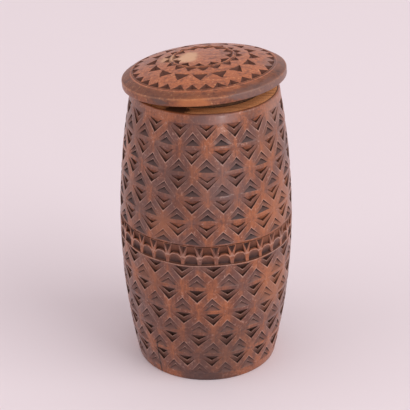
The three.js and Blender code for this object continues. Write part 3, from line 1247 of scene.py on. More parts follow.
@dataclass(frozen=True)
class CarvedLid:
    """The domed lid with its rings of chips."""

    radius: float = 49.0
    edge_height: float = 4.6
    edge_soft: float = 0.6
    edge_round: float = 0.8
    crown_radius: float = 42.1
    crown_height: float = 8.0
    shoulder_swell: float = 0.35
    shoulder_painted_shade: float = 0.42
    height: float = 14.3
    dome_power: float = 2.5
    bead_inside: float = 17.9
    bead_outside: float = 19.2
    bead_height: float = 0.5
    groove_width: float = 1.1
    groove_depth: float = 0.35
    bead_wear: float = 0.55
    bead_dirt_and_shade: float = 0.7
    crown_dirt_and_shade: float = 0.2
    groove_dirt_and_shade: float = 0.45
    edge_wear: float = 0.5
    low_wear: float = 0.25
    bead_rings: int = 7
    middle_rings: int = 9
    strip_rings: int = 5
    shoulder_rings: int = 8
    edge_rings: int = 5
    low_rings: int = 4
    still_edge: float = 3.0
    still_depth: float = 3.0
    still_middle: tuple[float, float] = (2.0, 10.0)
    crease: float = 48.0
    outer: ChipRing = ChipRing(
        count=32, phase=2.0, base=42.1, apex=37.8, width=8.1, depth=1.8,
        base_pieces=8, gap_pieces=4, heart=0.6, base_dark=0.2,
    )
    middle: ChipRing = ChipRing(
        count=16, phase=-3.0, base=27.6, apex=34.0, width=9.2, depth=2.0, base_pieces=8, gap_pieces=8
    )
    inner: ChipRing = ChipRing(
        count=17, phase=1.0, base=19.7, apex=23.8, width=7.0, depth=1.4, base_pieces=8, gap_pieces=6
    )
    medallion: ChipRing = ChipRing(
        count=12, phase=-8.0, base=17.6, apex=13.2, width=9.0, depth=1.6,
        base_pieces=10, gap_pieces=8, heart=0.75, base_dark=0.6,
    )
    sideways: Wobble = Wobble(seed=21, reach=0.4, turns=40, pitch=12.0)
    outward: Wobble = Wobble(seed=22, reach=0.35, turns=40, pitch=12.0)
    deeper: Wobble = Wobble(seed=23, reach=0.3, turns=36, pitch=9.0)
    hollows: Wobble = Wobble(seed=24, reach=0.12, turns=16, pitch=12.0)

    def crown(self, radius: Array) -> Array:
        """Height of the uncut dome: a power curve that falls faster and faster to the crown's edge.

        Args:
            radius: Distances from the lid's axis.

        Returns:
            The heights above the lid's lower face.
        """
        share = (radius / self.crown_radius) ** self.dome_power
        return self.height - (self.height - self.crown_height) * share

    def depth(self, radius: float, height: float) -> float:
        """Depth of a point under the uncut dome.

        Args:
            radius: Distance of the point from the lid's axis.
            height: Its height above the lid's lower face.

        Returns:
            The depth.
        """
        return float(self.crown(np.array(radius))) - height

    def place(self, points: Array) -> Array:
        """Gathered points of the lid as places in space.

        Smooth wobbles shift the carving sideways, outwards and in depth, and fade out at the crown's edge.

        Args:
            points: Points, channels last.

        Returns:
            Their places, in millimetres.
        """
        angle, radius, depth = points[:, 0], points[:, 1], points[:, 2]
        fade = smooth_step(-self.crown_radius, self.still_edge - self.crown_radius, -radius)
        fade = fade * np.clip(self.still_depth - depth, 0.0, 1.0)
        fade = fade * smooth_step(*self.still_middle, radius)
        moved_depth = depth * (1.0 + fade * self.deeper(angle, radius))
        moved_depth = moved_depth + fade * np.abs(self.hollows(angle, radius))
        moved_radius = radius + fade * self.outward(angle, radius)
        moved_angle = angle + fade * self.sideways(angle, radius) / self.crown_radius
        flat = polar(moved_angle, moved_radius, self.crown(moved_radius) - moved_depth)
        return seated(flat, seat_matrix())

    def build(self, material: bpy.types.Material) -> bpy.types.Object:
        """Make the lid.

        Args:
            material: Its finish.

        Returns:
            The object.
        """
        work, seat = Patchwork(), LidSeat()
        for chips in (self.outer, self.middle, self.inner, self.medallion):
            chips.gather(work)
        self.join(work, self.outer.apex_ring(), self.middle.apex_ring())
        self.join(work, self.middle.base_ring(), self.inner.apex_ring())
        # Bead round the plain middle.
        turns = np.linspace(0.0, math.pi, self.bead_rings)
        bead_middle = (self.bead_outside + self.bead_inside) / 2.0
        bead_half = (self.bead_outside - self.bead_inside) / 2.0
        start = self.inner.base_ring()
        bead = [
            ring_at(start, bead_middle + bead_half * math.cos(t), -self.bead_height * math.sin(t))
            for t in turns
        ]
        bead[self.bead_rings // 2][:, Channel.EDGE.value] = self.bead_wear
        # The bead's feet are darkened: dirt and painted shade in the creases.
        for foot in (bead[0], bead[-1]):
            foot[:, Channel.DARK.value] = self.bead_dirt_and_shade
        work.loft([start] + bead)
        work.bridge(bead[-1], self.medallion.base_ring())
        middle = self.medallion.apex_ring()
        radii = np.linspace(self.medallion.apex, 0.0, self.middle_rings)[1:]
        work.loft([middle] + [ring_at(middle, r, 0.0) for r in radii])
        self.gather_edge(work, seat)
        mesh = work.mesh("lid_carving", self.place(np.concatenate(work.points)))
        return finished_object(mesh, material, self.crease)

    def gather_edge(self, work: Patchwork, seat: LidSeat) -> None:
        """Gather the lid outside its carving: groove, shoulder, edge, underside and the plug's socket.

        Args:
            work: Patchwork that takes it.
            seat: Sizes of the plug.
        """
        start = self.outer.base_ring()
        # The chips' base ring is darkened: dirt and painted shadow under the chips.
        start[:, Channel.DARK.value] = self.crown_dirt_and_shade
        socket = seat.plug_radius + seat.gap
        soft, reach = self.edge_soft, self.radius - self.edge_soft - self.crown_radius
        fall = self.crown_height - self.edge_height
        shoulder = np.linspace(self.groove_width / reach, 1.0, self.shoulder_rings)
        swell = self.shoulder_swell * np.sin(math.pi * shoulder)
        profile = [
            (self.crown_radius + reach * t, self.crown_height - fall * t + more, 0.0, 0.0)
            for t, more in zip(shoulder, swell)
        ]
        inset, top = self.radius - soft, self.edge_height
        profile += [
            (inset + soft * math.sin(t), top - soft * (1.0 - math.cos(t)), 0.0, self.edge_wear)
            for t in np.linspace(0.0, math.pi / 2.0, self.edge_rings)[1:]
        ]
        low = self.edge_round
        profile += [(self.radius, (top + low) / 2.0, 0.0, 0.0)]
        profile += [
            (self.radius - low * (1.0 - math.cos(t)), low * (1.0 - math.sin(t)), 0.0, self.low_wear)
            for t in np.linspace(0.0, math.pi / 2.0, self.low_rings)
        ]
        under = (((self.radius + socket) / 2.0, 0.0), (socket, 0.0), (socket, seat.plug_seat))
        under += ((socket / 2.0, seat.plug_seat), (0.0, seat.plug_seat))
        profile += [(r, z, 1.0, 0.0) for r, z in under]
        rings = [ring_at(start, r, self.depth(r, z), raw, edge=edge) for r, z, raw, edge in profile]
        # The shoulder's rings are darkened: painted shade.
        for ring in rings[1:len(shoulder)]:
            ring[:, Channel.DARK.value] = self.shoulder_painted_shade
        low = self.crown_radius + self.groove_width / 2.0
        # The groove's floor is darkened: dirt and painted shade.
        groove = ring_at(start, low, self.groove_depth, dark=self.groove_dirt_and_shade)
        work.loft([start, groove] + rings)

    def join(self, work: Patchwork, first: Array, second: Array) -> None:
        """Gather the plain strip between two rings of chips.

        Args:
            work: Patchwork that takes it.
            first: Outer ring.
            second: Inner ring.
        """
        radii = np.linspace(first[0, 1], second[0, 1], self.strip_rings)[1:-1]
        rings = [first] + [ring_at(first, r, 0.0) for r in radii]
        work.loft(rings)
        work.bridge(rings[-1], second)


@dataclass(frozen=True)
class TurnedPiece:
    """Plain turned piece, from its profile of radius and height pairs that starts and ends on the axis."""

    name: str
    profile: tuple[tuple[float, float], ...]
    columns: int = 144
    crease: float = 35.0

    def build(self, material: bpy.types.Material, seat: Matrix) -> bpy.types.Object:
        """Make the piece.

        Args:
            material: Its finish.
            seat: Placing of the piece, in millimetres.

        Returns:
            The object.
        """
        work = Patchwork()
        start = np.zeros((self.columns, len(Channel)))
        start[:, 0] = np.arange(self.columns) * TURN / self.columns
        work.loft([ring_at(start, radius, -height, 1.0) for radius, height in self.profile])
        points = np.concatenate(work.points)
        flat = polar(points[:, 0], points[:, 1], -points[:, 2])
        mesh = work.mesh(self.name, seated(flat, seat))
        return finished_object(mesh, material, self.crease)


class Sock:
    """Output of a shader node that takes part in arithmetic."""

    def __init__(self, graph: "Graph", socket: bpy.types.NodeSocket) -> None:
        """Wrap an output.

        Args:
            graph: Graph that the node is in.
            socket: The output.
        """
        self.graph = graph
        self.socket = socket

    def __add__(self, other: "Sock | float") -> "Sock":
        """Sum."""
        return self.graph.maths("ADD", self, other)

    def __sub__(self, other: "Sock | float") -> "Sock":
        """Difference."""
        return self.graph.maths("SUBTRACT", self, other)

    def __mul__(self, other: "Sock | float") -> "Sock":
        """Product."""
        return self.graph.maths("MULTIPLY", self, other)

    def __truediv__(self, other: "Sock | float") -> "Sock":
        """Quotient."""
        return self.graph.maths("DIVIDE", self, other)

    def __rsub__(self, other: "Sock | float") -> "Sock":
        """Difference from a number."""
        return self.graph.maths("SUBTRACT", other, self)

    def __rtruediv__(self, other: "Sock | float") -> "Sock":
        """Quotient of a number."""
        return self.graph.maths("DIVIDE", other, self)

    __radd__ = __add__
    __rmul__ = __mul__

    def __abs__(self) -> "Sock":
        """Size without its sign."""
        return self.graph.maths("ABSOLUTE", self)

    def step(self, low: float, high: float) -> "Sock":
        """Smooth rise from 0 to 1.

        Args:
            low: Value where the rise starts.
            high: Value where it ends; below the start for a fall.

        Returns:
            The share of the rise.
        """
        if low > high:
            return 1.0 - self.step(high, low)
        settings = {"interpolation_type": "SMOOTHSTEP"}
        inputs = {"Value": self, "From Min": low, "From Max": high}
        return self.graph.node("ShaderNodeMapRange", settings, inputs)

    def swing(self, reach: float) -> "Sock":
        """Noise as an unevenness to both sides of 0.

        Args:
            reach: Factor that it is scaled by.

        Returns:
            The scaled noise, round 0.
        """
        return (self - NOISE_MIDDLE) * reach


class Graph:
    """Nodes of one material."""

    def __init__(self, material: bpy.types.Material) -> None:
        """Clear a material and put in its two end nodes.

        Args:
            material: Material with nodes.
        """
        self.tree = material.node_tree
        self.tree.nodes.clear()
        self.surface = self.tree.nodes.new("ShaderNodeBsdfPrincipled")
        output = self.tree.nodes.new("ShaderNodeOutputMaterial")
        self.tree.links.new(self.surface.outputs[0], output.inputs["Surface"])

    def feed(self, socket: bpy.types.NodeSocket, value: object) -> None:
        """Link or set an input.

        Args:
            socket: The input.
            value: Output to link, or a constant.
        """
        if isinstance(value, Sock):
            self.tree.links.new(value.socket, socket)
        elif socket.type == "RGBA":
            socket.default_value = (*value, 1.0)
        else:
            socket.default_value = value

    def node(
        self,
        kind: str,
        settings: Mapping[str, object] | None = None,
        inputs: Mapping[str | int, object] | None = None,
        output: str | int = 0,
    ) -> Sock:
        """Add a node.

        Args:
            kind: Its type.
            settings: Its properties.
            inputs: Its inputs, linked or constant.
            output: Which of its outputs is wanted.

        Returns:
            That output.
        """
        node = self.tree.nodes.new(kind)
        for name, value in (settings or {}).items():
            setattr(node, name, value)
        for key, value in (inputs or {}).items():
            self.feed(node.inputs[key], value)
        return Sock(self, node.outputs[output])

    def maths(self, operation: str, first: Sock | float, second: Sock | float = 0.0) -> Sock:
        """Arithmetic on two values.

        Args:
            operation: Name of the operation.
            first: First value.
            second: Second value.

        Returns:
            The result.
        """
        return self.node("ShaderNodeMath", {"operation": operation}, {0: first, 1: second})

    def mark(self, channel: Channel) -> Sock:
        """Attribute of the mesh.

        Args:
            channel: Which mark.

        Returns:
            Its value.
        """
        return self.node("ShaderNodeAttribute", {"attribute_name": channel.name.lower()}, output="Fac")

    def place(self) -> Sock:
        """Place on the object, in millimetres.

        Returns:
            The vector.
        """
        where = self.node("ShaderNodeTexCoord", output="Object")
        return self.stretched(where, (1.0 / METRES,) * 3)

    def stretched(self, vector: Sock, factors: Triple) -> Sock:
        """Vector times a constant vector.

        Args:
            vector: The vector.
            factors: Factor for each axis.

        Returns:
            The product.
        """
        return self.node("ShaderNodeVectorMath", {"operation": "MULTIPLY"}, {0: vector, 1: factors})

    def along(self, vector: Sock, direction: Triple) -> Sock:
        """Distance along a direction.

        Args:
            vector: The vector.
            direction: Direction, of length 1.

        Returns:
            The dot product.
        """
        inputs = {0: vector, 1: direction}
        return self.node("ShaderNodeVectorMath", {"operation": "DOT_PRODUCT"}, inputs, "Value")

    def distance(self, vector: Sock, middle: Triple, stretch: Triple) -> Sock:
        """Distance from a point, with each axis stretched.

        Args:
            vector: The vector.
            middle: The point.
            stretch: Factor for each axis.

        Returns:
            The length of the stretched difference.
        """
        away = self.node("ShaderNodeVectorMath", {"operation": "SUBTRACT"}, {0: vector, 1: middle})
        inputs = {0: self.stretched(away, stretch)}
        return self.node("ShaderNodeVectorMath", {"operation": "LENGTH"}, inputs, "Value")

    def noise(self, vector: Sock, clouds: Clouds) -> Sock:
        """Cloudy noise.

        Args:
            vector: Place, in millimetres.
            clouds: Which clouds.

        Returns:
            Values round 0.5.
        """
        size, detail, rough = clouds.value
        inputs = {"Vector": vector, "Scale": 1.0 / size, "Detail": detail, "Roughness": rough}
        return self.node("ShaderNodeTexNoise", None, inputs)

    def mix(self, share: Sock | float, first: Sock | Colour, second: Sock | Colour) -> Sock:
        """Blend of two colours.

        Args:
            share: Share of the second.
            first: First colour.
            second: Second colour.

        Returns:
            The blend.
        """
        return self.node("ShaderNodeMix", {"data_type": "RGBA"}, {0: share, 6: first, 7: second}, 2)


@dataclass(frozen=True)
class Stain:
    """Round patch of another colour with a ragged edge, on the raw or on the finished wood."""

    middle: Triple
    reach: float
    colour: Colour
    share: float
    on_raw: bool = False
    fade: float = 0.9
    stretch: Triple = (1.0, 1.0, 1.0)
    end: float = 1.05


@dataclass(frozen=True)
class Crack:
    """Drying crack that runs up from the foot."""

    angle: float
    top: float
    width: float
    wander: float
    taper: float = 0.7
    core: float = 0.3


@dataclass(frozen=True)
class CarvedWood:
    """Stained carved wood: worn flats, stained cuts, pale arrises, and raw wood that was never stained."""

    name: str
    grain: Grain
    flat_red: Colour = (0.185, 0.062, 0.036)
    flat_tan: Colour = (0.31, 0.105, 0.042)
    film: Colour = (0.14, 0.07, 0.058)
    streak: Colour = (0.075, 0.025, 0.016)
    cut: Colour = (0.115, 0.045, 0.026)
    dust: Colour = (0.16, 0.092, 0.084)
    crease: Colour = (0.022, 0.009, 0.007)
    slate: Colour = (0.032, 0.021, 0.021)
    # Rubbed pale wood, its pink tint partly a painted reflection on the arrises.
    worn: Colour = (0.46, 0.268, 0.205)
    raw: Colour = (0.4, 0.17, 0.05)
    raw_dark: Colour = (0.26, 0.1, 0.03)
    hazy: float = 0.76
    side_painted_shade: float = 0.0
    speckle: float = 0.5
    mottled: float = 0.25
    streaky: float = 0.35
    pitted: float = 0.5
    dusty: float = 0.85
    flecked: float = 0.35
    sunken: float = 0.85
    rub: float = 0.8
    stains: tuple[Stain, ...] = ()
    cracks: tuple[Crack, ...] = ()
    roughness: float = 0.42
    raw_roughness: float = 0.75
    coat: float = 0.36
    coat_roughness: float = 0.2
    specular: float = 0.3
    grain_bump: float = 0.3
    grain_depth: float = 0.0002

    def material(self) -> bpy.types.Material:
        """Make the finish.

        Returns:
            The material.
        """
        material = bpy.data.materials.new(self.name)
        material.use_nodes = True
        g = Graph(material)
        place = g.place()
        fibres = g.stretched(place, self.grain.value)
        fine, bands = (g.noise(fibres, clouds) for clouds in (Clouds.FINE, Clouds.BANDS))
        spread = (Clouds.BROAD, Clouds.PATCHES, Clouds.SPECKS, Clouds.MOTTLE)
        clouds, patches, specks, mottle = (g.noise(place, kind) for kind in spread)
        growth = g.noise(g.stretched(place, Grain.ACROSS.value), Clouds.SPECKS)
        edge, cut, dark, film, raw, dust = (g.mark(mark) for mark in MARKS)
        raw = (raw + specks.swing(0.5)).step(0.35, 0.65)
        upward = g.along(g.node("ShaderNodeNewGeometry", output="Normal"), UP)

        # Flats: red and tan wood, a grey film, streaks along the grain, dark mottles and pale specks.
        warm = (patches * 0.6 + clouds * 0.4 + bands.swing(0.5) - (film - 0.3) * 0.35).step(0.36, 0.66)
        flats = g.mix(warm, self.flat_red, self.flat_tan)
        haze = (1.0 - clouds + patches.swing(0.9) + (film - 0.35) * 0.3).step(0.38, 0.62)
        flats = g.mix(haze * self.hazy, flats, self.film)
        # Faces that turn away from the top are darkened: painted shade on the sides.
        flats = g.mix(upward.step(0.93, 0.88) * self.side_painted_shade, flats, self.streak)
        flats = g.mix(fine.step(0.45, 0.66) * self.streaky, flats, self.streak)
        flats = g.mix(mottle.step(0.5, 0.66) * self.mottled, flats, self.streak)
        flats = g.mix(specks.step(0.55, 0.7) * mottle.step(0.6, 0.4) * self.speckle, flats, self.worn)
        flats = g.mix(specks.step(0.45, 0.3) * self.pitted, flats, self.streak)
        # Cuts: dusty floors, dirt and painted shade in the creases, and arrises that are rubbed pale.
        sunk = (cut + patches.swing(0.4)).step(0.05, 0.95)
        floors = g.mix(dust * self.dusty, self.cut, self.dust)
        floors = g.mix(specks.step(0.4, 0.65) * self.flecked, floors, self.streak)
        wood = g.mix(sunk * self.sunken, flats, floors)
        # The dark mark gives dirt and painted shade in creases and recesses.
        dirt_and_shade = g.mix(dust, self.crease, self.slate)
        soiled_and_shaded = (dark + specks.swing(0.3) + clouds.swing(0.9)).step(0.15, 0.95)
        wood = g.mix(soiled_and_shaded * dark.step(0.0, 0.3), wood, dirt_and_shade)
        rubbed = edge.step(0.25, 0.9) * (patches * 0.6 + specks * 0.6).step(0.38, 0.66)
        wood = g.mix(rubbed * self.rub, wood, self.worn)
        # Raw wood: growth rings and fibres.
        bare = g.mix((fine * 0.4 + growth * 0.6).step(0.42, 0.6), self.raw, self.raw_dark)
        wood = g.mix(raw, wood, bare)
        # Marks of wear, and patches of painted sheen, light and shade, that have their own places.
        for stain in self.stains:
            far = g.distance(place, stain.middle, stain.stretch) / stain.reach
            ragged = far + patches.swing(0.9) + specks.swing(0.5)
            kind = raw if stain.on_raw else (1.0 - raw) * (1.0 - dark)
            covered = ragged.step(stain.end, stain.end - stain.fade) * kind * stain.share
            wood = g.mix(covered, wood, stain.colour)
        for crack in self.cracks:
            turn = math.radians(crack.angle)
            across = g.along(place, (math.cos(turn), math.sin(turn), 0.0))
            across = abs(across + patches.swing(crack.wander))
            outward = g.along(place, (math.sin(turn), -math.cos(turn), 0.0)).step(0.0, 1.0)
            low = g.along(place, UP).step(crack.top, crack.top * crack.taper)
            open_wood = across.step(crack.width, crack.width * crack.core)
            wood = g.mix(open_wood * outward * low, wood, self.crease)
        g.feed(g.surface.inputs["Base Color"], wood)
        polish = self.roughness + fine.swing(0.25) + patches.swing(0.25) + sunk * 0.2 + dark * 0.3
        g.feed(g.surface.inputs["Roughness"], polish * (1.0 - raw) + raw * self.raw_roughness)
        g.feed(g.surface.inputs["Coat Weight"], (1.0 - raw) * (1.0 - sunk) * self.coat)
        g.feed(g.surface.inputs["Coat Roughness"], self.coat_roughness)
        g.feed(g.surface.inputs["Specular IOR Level"], self.specular)
        relief = {
            "Strength": self.grain_bump,
            "Distance": self.grain_depth,
            "Height": fine * 0.6 + specks * 0.4,
        }
        g.feed(g.surface.inputs["Normal"], g.node("ShaderNodeBump", None, relief))
        return material


@dataclass(frozen=True)
class Lamp:
    """Square soft light: where it hangs and how wide it is, in metres, and its power in watts."""

    name: str
    place: Triple
    size: float
    power: float

    def hang(self, aim: Vector) -> None:
        """Put it up.

        Args:
            aim: Point that it faces.
        """
        data = bpy.data.lights.new(self.name, "AREA")
        data.size = self.size
        data.energy = self.power
        lamp = bpy.data.objects.new(self.name, data)
        turn = (aim - Vector(self.place)).to_track_quat("-Z", "Y")
        lamp.matrix_world = Matrix.Translation(self.place) @ turn.to_matrix().to_4x4()
        bpy.context.scene.collection.objects.link(lamp)


@dataclass(frozen=True)
class Studio:
    """Plain pale room with soft light, seen from the photo's place."""

    camera_place: Vector = Vector((-0.00066, -0.8221, 0.5173))
    camera_pitch: float = 26.9
    camera_roll: float = -0.49
    lens: float = 130.9
    sensor: float = 36.0
    floor_reach: float = 3.0
    floor_roughness: float = 0.9
    aim: Vector = Vector((0.0, 0.0, 0.1))
    floor_colour: Colour = (0.78, 0.703, 0.732)
    wall_colour: Colour = (0.84, 0.723, 0.752)
    sky_colour: Colour = (0.86, 0.79, 0.81)
    sky_strength: float = 0.88
    lamps: tuple[Lamp, ...] = (
        Lamp("key", (3.1, -1.7, 2.3), 3.6, 100.0),
        Lamp("window", (0.95, -2.15, 0.2), 0.3, 5.5),
        Lamp("fill", (-2.9, -0.8, 1.3), 2.8, 25.0),
    )

    def floor(self) -> bpy.types.Object:
        """Make the floor, which the object stands on.

        Returns:
            The floor.
        """
        reach = self.floor_reach
        mesh = bpy.data.meshes.new("floor")
        corners = [(-reach, -reach, 0.0), (reach, -reach, 0.0), (reach, reach, 0.0), (-reach, reach, 0.0)]
        mesh.from_pydata(corners, [], [(0, 1, 2, 3)])
        material = bpy.data.materials.new("floor")
        material.use_nodes = True
        g = Graph(material)
        g.feed(g.surface.inputs["Base Color"], self.floor_colour)
        g.feed(g.surface.inputs["Roughness"], self.floor_roughness)
        mesh.materials.append(material)
        floor = bpy.data.objects.new("floor", mesh)
        bpy.context.scene.collection.objects.link(floor)
        return floor

    def sky(self) -> None:
        """Light the room evenly from all round, with a pale wall behind the object."""
        world = bpy.data.worlds.new("room")
        world.use_nodes = True
        tree = world.node_tree
        back = tree.nodes["Background"]
        back.inputs["Color"].default_value = (*self.sky_colour, 1.0)
        back.inputs["Strength"].default_value = self.sky_strength
        shown = tree.nodes.new("ShaderNodeBackground")
        shown.inputs["Color"].default_value = (*self.wall_colour, 1.0)
        rays = tree.nodes.new("ShaderNodeLightPath")
        blend = tree.nodes.new("ShaderNodeMixShader")
        straight = rays.outputs["Is Camera Ray"]
        for kind in ("Is Glossy Ray", "Is Transmission Ray"):
            either = tree.nodes.new("ShaderNodeMath")
            either.operation = "MAXIMUM"
            tree.links.new(straight, either.inputs[0])
            tree.links.new(rays.outputs[kind], either.inputs[1])
            straight = either.outputs[0]
        tree.links.new(straight, blend.inputs[0])
        tree.links.new(back.outputs[0], blend.inputs[1])
        tree.links.new(shown.outputs[0], blend.inputs[2])
        tree.links.new(blend.outputs[0], tree.nodes["World Output"].inputs["Surface"])
        bpy.context.scene.world = world

    def camera(self) -> None:
        """Put the camera where the photo was taken from."""
        data = bpy.data.cameras.new("camera")
        data.lens = self.lens
        data.sensor_width = self.sensor
        camera = bpy.data.objects.new("camera", data)
        look = Matrix.Rotation(math.radians(90.0 - self.camera_pitch), 4, "X")
        roll = Matrix.Rotation(math.radians(self.camera_roll), 4, "Z")
        camera.matrix_world = Matrix.Translation(self.camera_place) @ look @ roll
        bpy.context.scene.collection.objects.link(camera)
        bpy.context.scene.camera = camera

    def build(self) -> None:
        """Set the stage."""
        self.floor()
        for lamp in self.lamps:
            lamp.hang(self.aim)
        self.sky()
        self.camera()
        bpy.context.scene.view_settings.view_transform = "Standard"


def wall_spot(angle: float, radius: float, height: float) -> Triple:
    """Place of a point of the jar's body.

    Args:
        angle: Degrees from the front.
        radius: Distance from the axis.
        height: Height above the foot.

    Returns:
        The place, in millimetres.
    """
    turn = math.radians(angle)
    return (radius * math.sin(turn), -radius * math.cos(turn), height)


def lid_spot(angle: float, radius: float, height: float) -> Triple:
    """Place of a point of the lid.

    Args:
        angle: Degrees from the front.
        radius: Distance from the lid's axis.
        height: Height above its lower face.

    Returns:
        The place, in millimetres.
    """
    return tuple(seat_matrix() @ Vector(wall_spot(angle, radius, height)))


def wall_finish(barrel: Barrel) -> CarvedWood:
    """Finish of the jar's body, with its dull, dark and warm patches; some are painted light: a painted
    sheen on the straps and the neck, painted light on the right flank and painted shade on the left flank.

    Args:
        barrel: Form of the body.

    Returns:
        The finish.
    """
    # The neck's patches lie just under the rim.
    rim, neck = barrel.height, barrel.height - 2.6
    foot_spot = wall_spot(2.0, 45.0, 2.0)
    rim_spot = wall_spot(-25.0, 39.5, rim)
    neck_sheen_spot = wall_spot(10.0, 45.0, neck)
    dark_neck = (0.06, 0.03, 0.027)
    return CarvedWood(
        "carved_wall_wood",
        Grain.UP,
        flat_red=(0.14, 0.045, 0.027),
        flat_tan=(0.315, 0.097, 0.037),
        film=(0.113, 0.055, 0.047),
        cut=(0.15, 0.054, 0.03),
        dust=(0.113, 0.063, 0.058),
        crease=(0.034, 0.013, 0.008),
        slate=(0.05, 0.032, 0.031),
        # The raw wood is lightened as painted light on the rim, which lies in the lid's shade.
        raw=(0.82, 0.375, 0.16),
        raw_dark=(0.53, 0.213, 0.083),
        stains=(
            Stain(wall_spot(14.0, 50.0, 22.0), 30.0, (0.07, 0.038, 0.031), 0.58),
            Stain(wall_spot(-22.0, 50.0, 34.0), 30.0, (0.09, 0.036, 0.024), 0.26),
            # Painted shade on the left flank.
            Stain(wall_spot(-64.0, 52.0, 118.0), 30.0, (0.07, 0.034, 0.028), 0.42),
            Stain(wall_spot(-42.0, 53.0, 74.0), 18.0, (0.29, 0.088, 0.027), 0.33),
            Stain(wall_spot(-56.0, 48.0, 160.0), 16.0, (0.2, 0.062, 0.026), 0.42),
            # Painted light on the right flank.
            Stain(wall_spot(50.0, 48.0, 154.0), 20.0, (0.42, 0.142, 0.05), 0.22),
            Stain(wall_spot(-15.0, 52.0, 124.0), 13.0, (0.08, 0.032, 0.024), 0.32),
            # Painted sheen on the straps.
            Stain(wall_spot(12.0, 52.0, 138.0), 26.0, (0.13, 0.078, 0.072), 0.5),
            Stain(wall_spot(-17.0, 52.0, 142.0), 15.0, (0.07, 0.028, 0.02), 0.45),
            Stain(wall_spot(-30.0, 53.0, 110.0), 14.0, (0.34, 0.11, 0.038), 0.5),
            # Painted light on the right flank.
            Stain(wall_spot(58.0, 53.0, 112.0), 30.0, (0.4, 0.135, 0.05), 0.45),
            Stain(wall_spot(54.0, 52.0, 62.0), 24.0, (0.38, 0.125, 0.042), 0.5),
            Stain(foot_spot, 15.0, (0.05, 0.026, 0.025), 0.75, fade=0.7, stretch=(0.7, 1.0, 1.6)),
            Stain(
                rim_spot, 6.9, (0.05, 0.018, 0.009), 0.92, on_raw=True, fade=0.25, stretch=(0.85, 1.0, 1.0)
            ),
            Stain(wall_spot(60.0, 44.0, 174.0), 14.0, (0.3, 0.17, 0.13), 0.45),
            # Grey film and painted sheen on the neck under the rim.
            Stain(neck_sheen_spot, 10.0, (0.21, 0.127, 0.119), 0.58, fade=0.6, stretch=(0.5, 1.0, 2.0)),
            Stain(wall_spot(-5.0, 45.0, neck), 4.5, dark_neck, 0.45, stretch=(0.5, 1.0, 1.0)),
            Stain(wall_spot(36.0, 45.0, neck), 6.0, dark_neck, 0.5, stretch=(0.6, 1.0, 1.0)),
        ),
        cracks=(Crack(angle=-40.5, top=31.0, width=0.75, wander=1.5),),
    )


def lid_finish(seat: Matrix) -> CarvedWood:
    """Finish of the lid, with its worn middle, the dull patches of its edge, and a warm patch on the front
    of its edge that is a painted pool of light.

    Args:
        seat: Placing of the lid, in millimetres.

    Returns:
        The finish.
    """
    bare, beside = (tuple(seat @ Vector(place)) for place in ((-8.5, -0.5, 14.2), (-20.0, 1.0, 13.4)))
    right, back = lid_spot(45.0, 49.0, 2.4), lid_spot(80.0, 46.0, 6.0)
    left, round_left = lid_spot(-31.0, 49.0, 2.4), lid_spot(-33.0, 49.0, 2.0)
    front = lid_spot(-6.0, 49.0, 2.0)
    return CarvedWood(
        "carved_lid_wood",
        Grain.ACROSS,
        flat_red=(0.26, 0.072, 0.032),
        flat_tan=(0.43, 0.13, 0.048),
        film=(0.15, 0.085, 0.072),
        cut=(0.08, 0.028, 0.017),
        dust=(0.115, 0.045, 0.029),
        slate=(0.108, 0.042, 0.028),
        worn=(0.6, 0.29, 0.13),
        # The raw underside is darkened, partly for dirt and partly as painted shade in the gap under the
        # lid.
        raw=(0.24, 0.105, 0.036),
        raw_dark=(0.15, 0.06, 0.02),
        hazy=0.35,
        # Painted shade on the lid's shoulder and side.
        side_painted_shade=0.45,
        speckle=0.65,
        mottled=0.55,
        coat=0.2,
        stains=(
            Stain(bare, 7.6, (0.64, 0.37, 0.2), 0.85, fade=0.5, stretch=(1.0, 0.72, 1.0)),
            Stain(beside, 7.5, (0.56, 0.31, 0.16), 0.75, fade=0.6),
            Stain(right, 26.0, (0.14, 0.09, 0.083), 0.7, fade=0.4, stretch=(1.0, 1.0, 6.0)),
            Stain(back, 15.0, (0.15, 0.09, 0.078), 0.6, fade=0.6),
            Stain(left, 5.0, (0.085, 0.057, 0.054), 0.8, fade=0.5, stretch=(1.0, 1.0, 3.0)),
            Stain(round_left, 13.0, (0.1, 0.045, 0.033), 0.5, fade=0.6, stretch=(1.0, 1.0, 2.0)),
            # Painted pool of light on the front of the edge.
            Stain(front, 12.0, (0.5, 0.175, 0.058), 0.5, fade=0.6, stretch=(1.0, 1.0, 2.5)),
        ),
    )


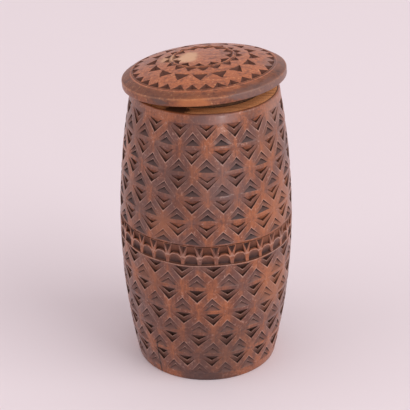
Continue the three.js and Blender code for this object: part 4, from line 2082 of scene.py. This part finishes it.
def plug_piece(fit: LidSeat) -> TurnedPiece:
    """Plug under the lid, a disc with a bevelled lower edge.

    Args:
        fit: Sizes of the plug.

    Returns:
        The piece, with the lid's lower face at height 0.
    """
    reach, top = fit.plug_radius, fit.plug_seat - fit.gap
    low, bevel = -fit.plug_depth, fit.plug_bevel
    profile = ((0.0, low), (reach - bevel, low), (reach, low + bevel), (reach, top), (0.0, top))
    return TurnedPiece("plug_turning", profile)


def base_piece(barrel: Barrel, gap: float, thick: float = 8.0, recess: float = 0.6) -> TurnedPiece:
    """Board let into the foot from below, with a bevelled lower edge.

    Args:
        barrel: Form of the body.
        gap: Room between the board and its rebate.
        thick: Thickness of the board.
        recess: Height of its lower face above the foot, and size of the bevel.

    Returns:
        The piece.
    """
    edge, top = barrel.rebate - gap, recess + thick
    profile = ((0.0, recess), (edge - recess, recess), (edge, 2.0 * recess), (edge, top), (0.0, top))
    return TurnedPiece("base_board", profile)


def main() -> None:
    """Build the jar and its stage."""
    logging.basicConfig(level=logging.INFO, format="%(name)s %(message)s")
    barrel, fit, seat = Barrel(), LidSeat(), seat_matrix()
    # The plug's raw wood is darkened, partly for dirt and partly as painted shade in the gap under the lid.
    plug_wood = CarvedWood(
        "raw_plug_wood", Grain.ACROSS, raw=(0.1, 0.044, 0.018), raw_dark=(0.055, 0.022, 0.01)
    )
    board_wood = CarvedWood("base_board_wood", Grain.ACROSS)
    wall = CarvedWall().build(wall_finish(barrel).material())
    lid = CarvedLid().build(lid_finish(seat).material())
    plug = plug_piece(fit).build(plug_wood.material(), seat)
    base = base_piece(barrel, fit.gap).build(board_wood.material(), Matrix.Identity(4))
    for piece, body, node, slot in (
        (wall, "jar", "jar_body", "carved_wall"),
        (base, "jar", "base_disc", "base_board"),
        (lid, "cover", "lid", "carved_lid"),
        (plug, "cover", "lid_plug", "raw_plug"),
    ):
        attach(piece, body)
        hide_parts(node)
        LOG.info("%s rides on %s in place of %s", piece.name, body, node)
    Studio().build()


if __name__ == "__main__":
    main()
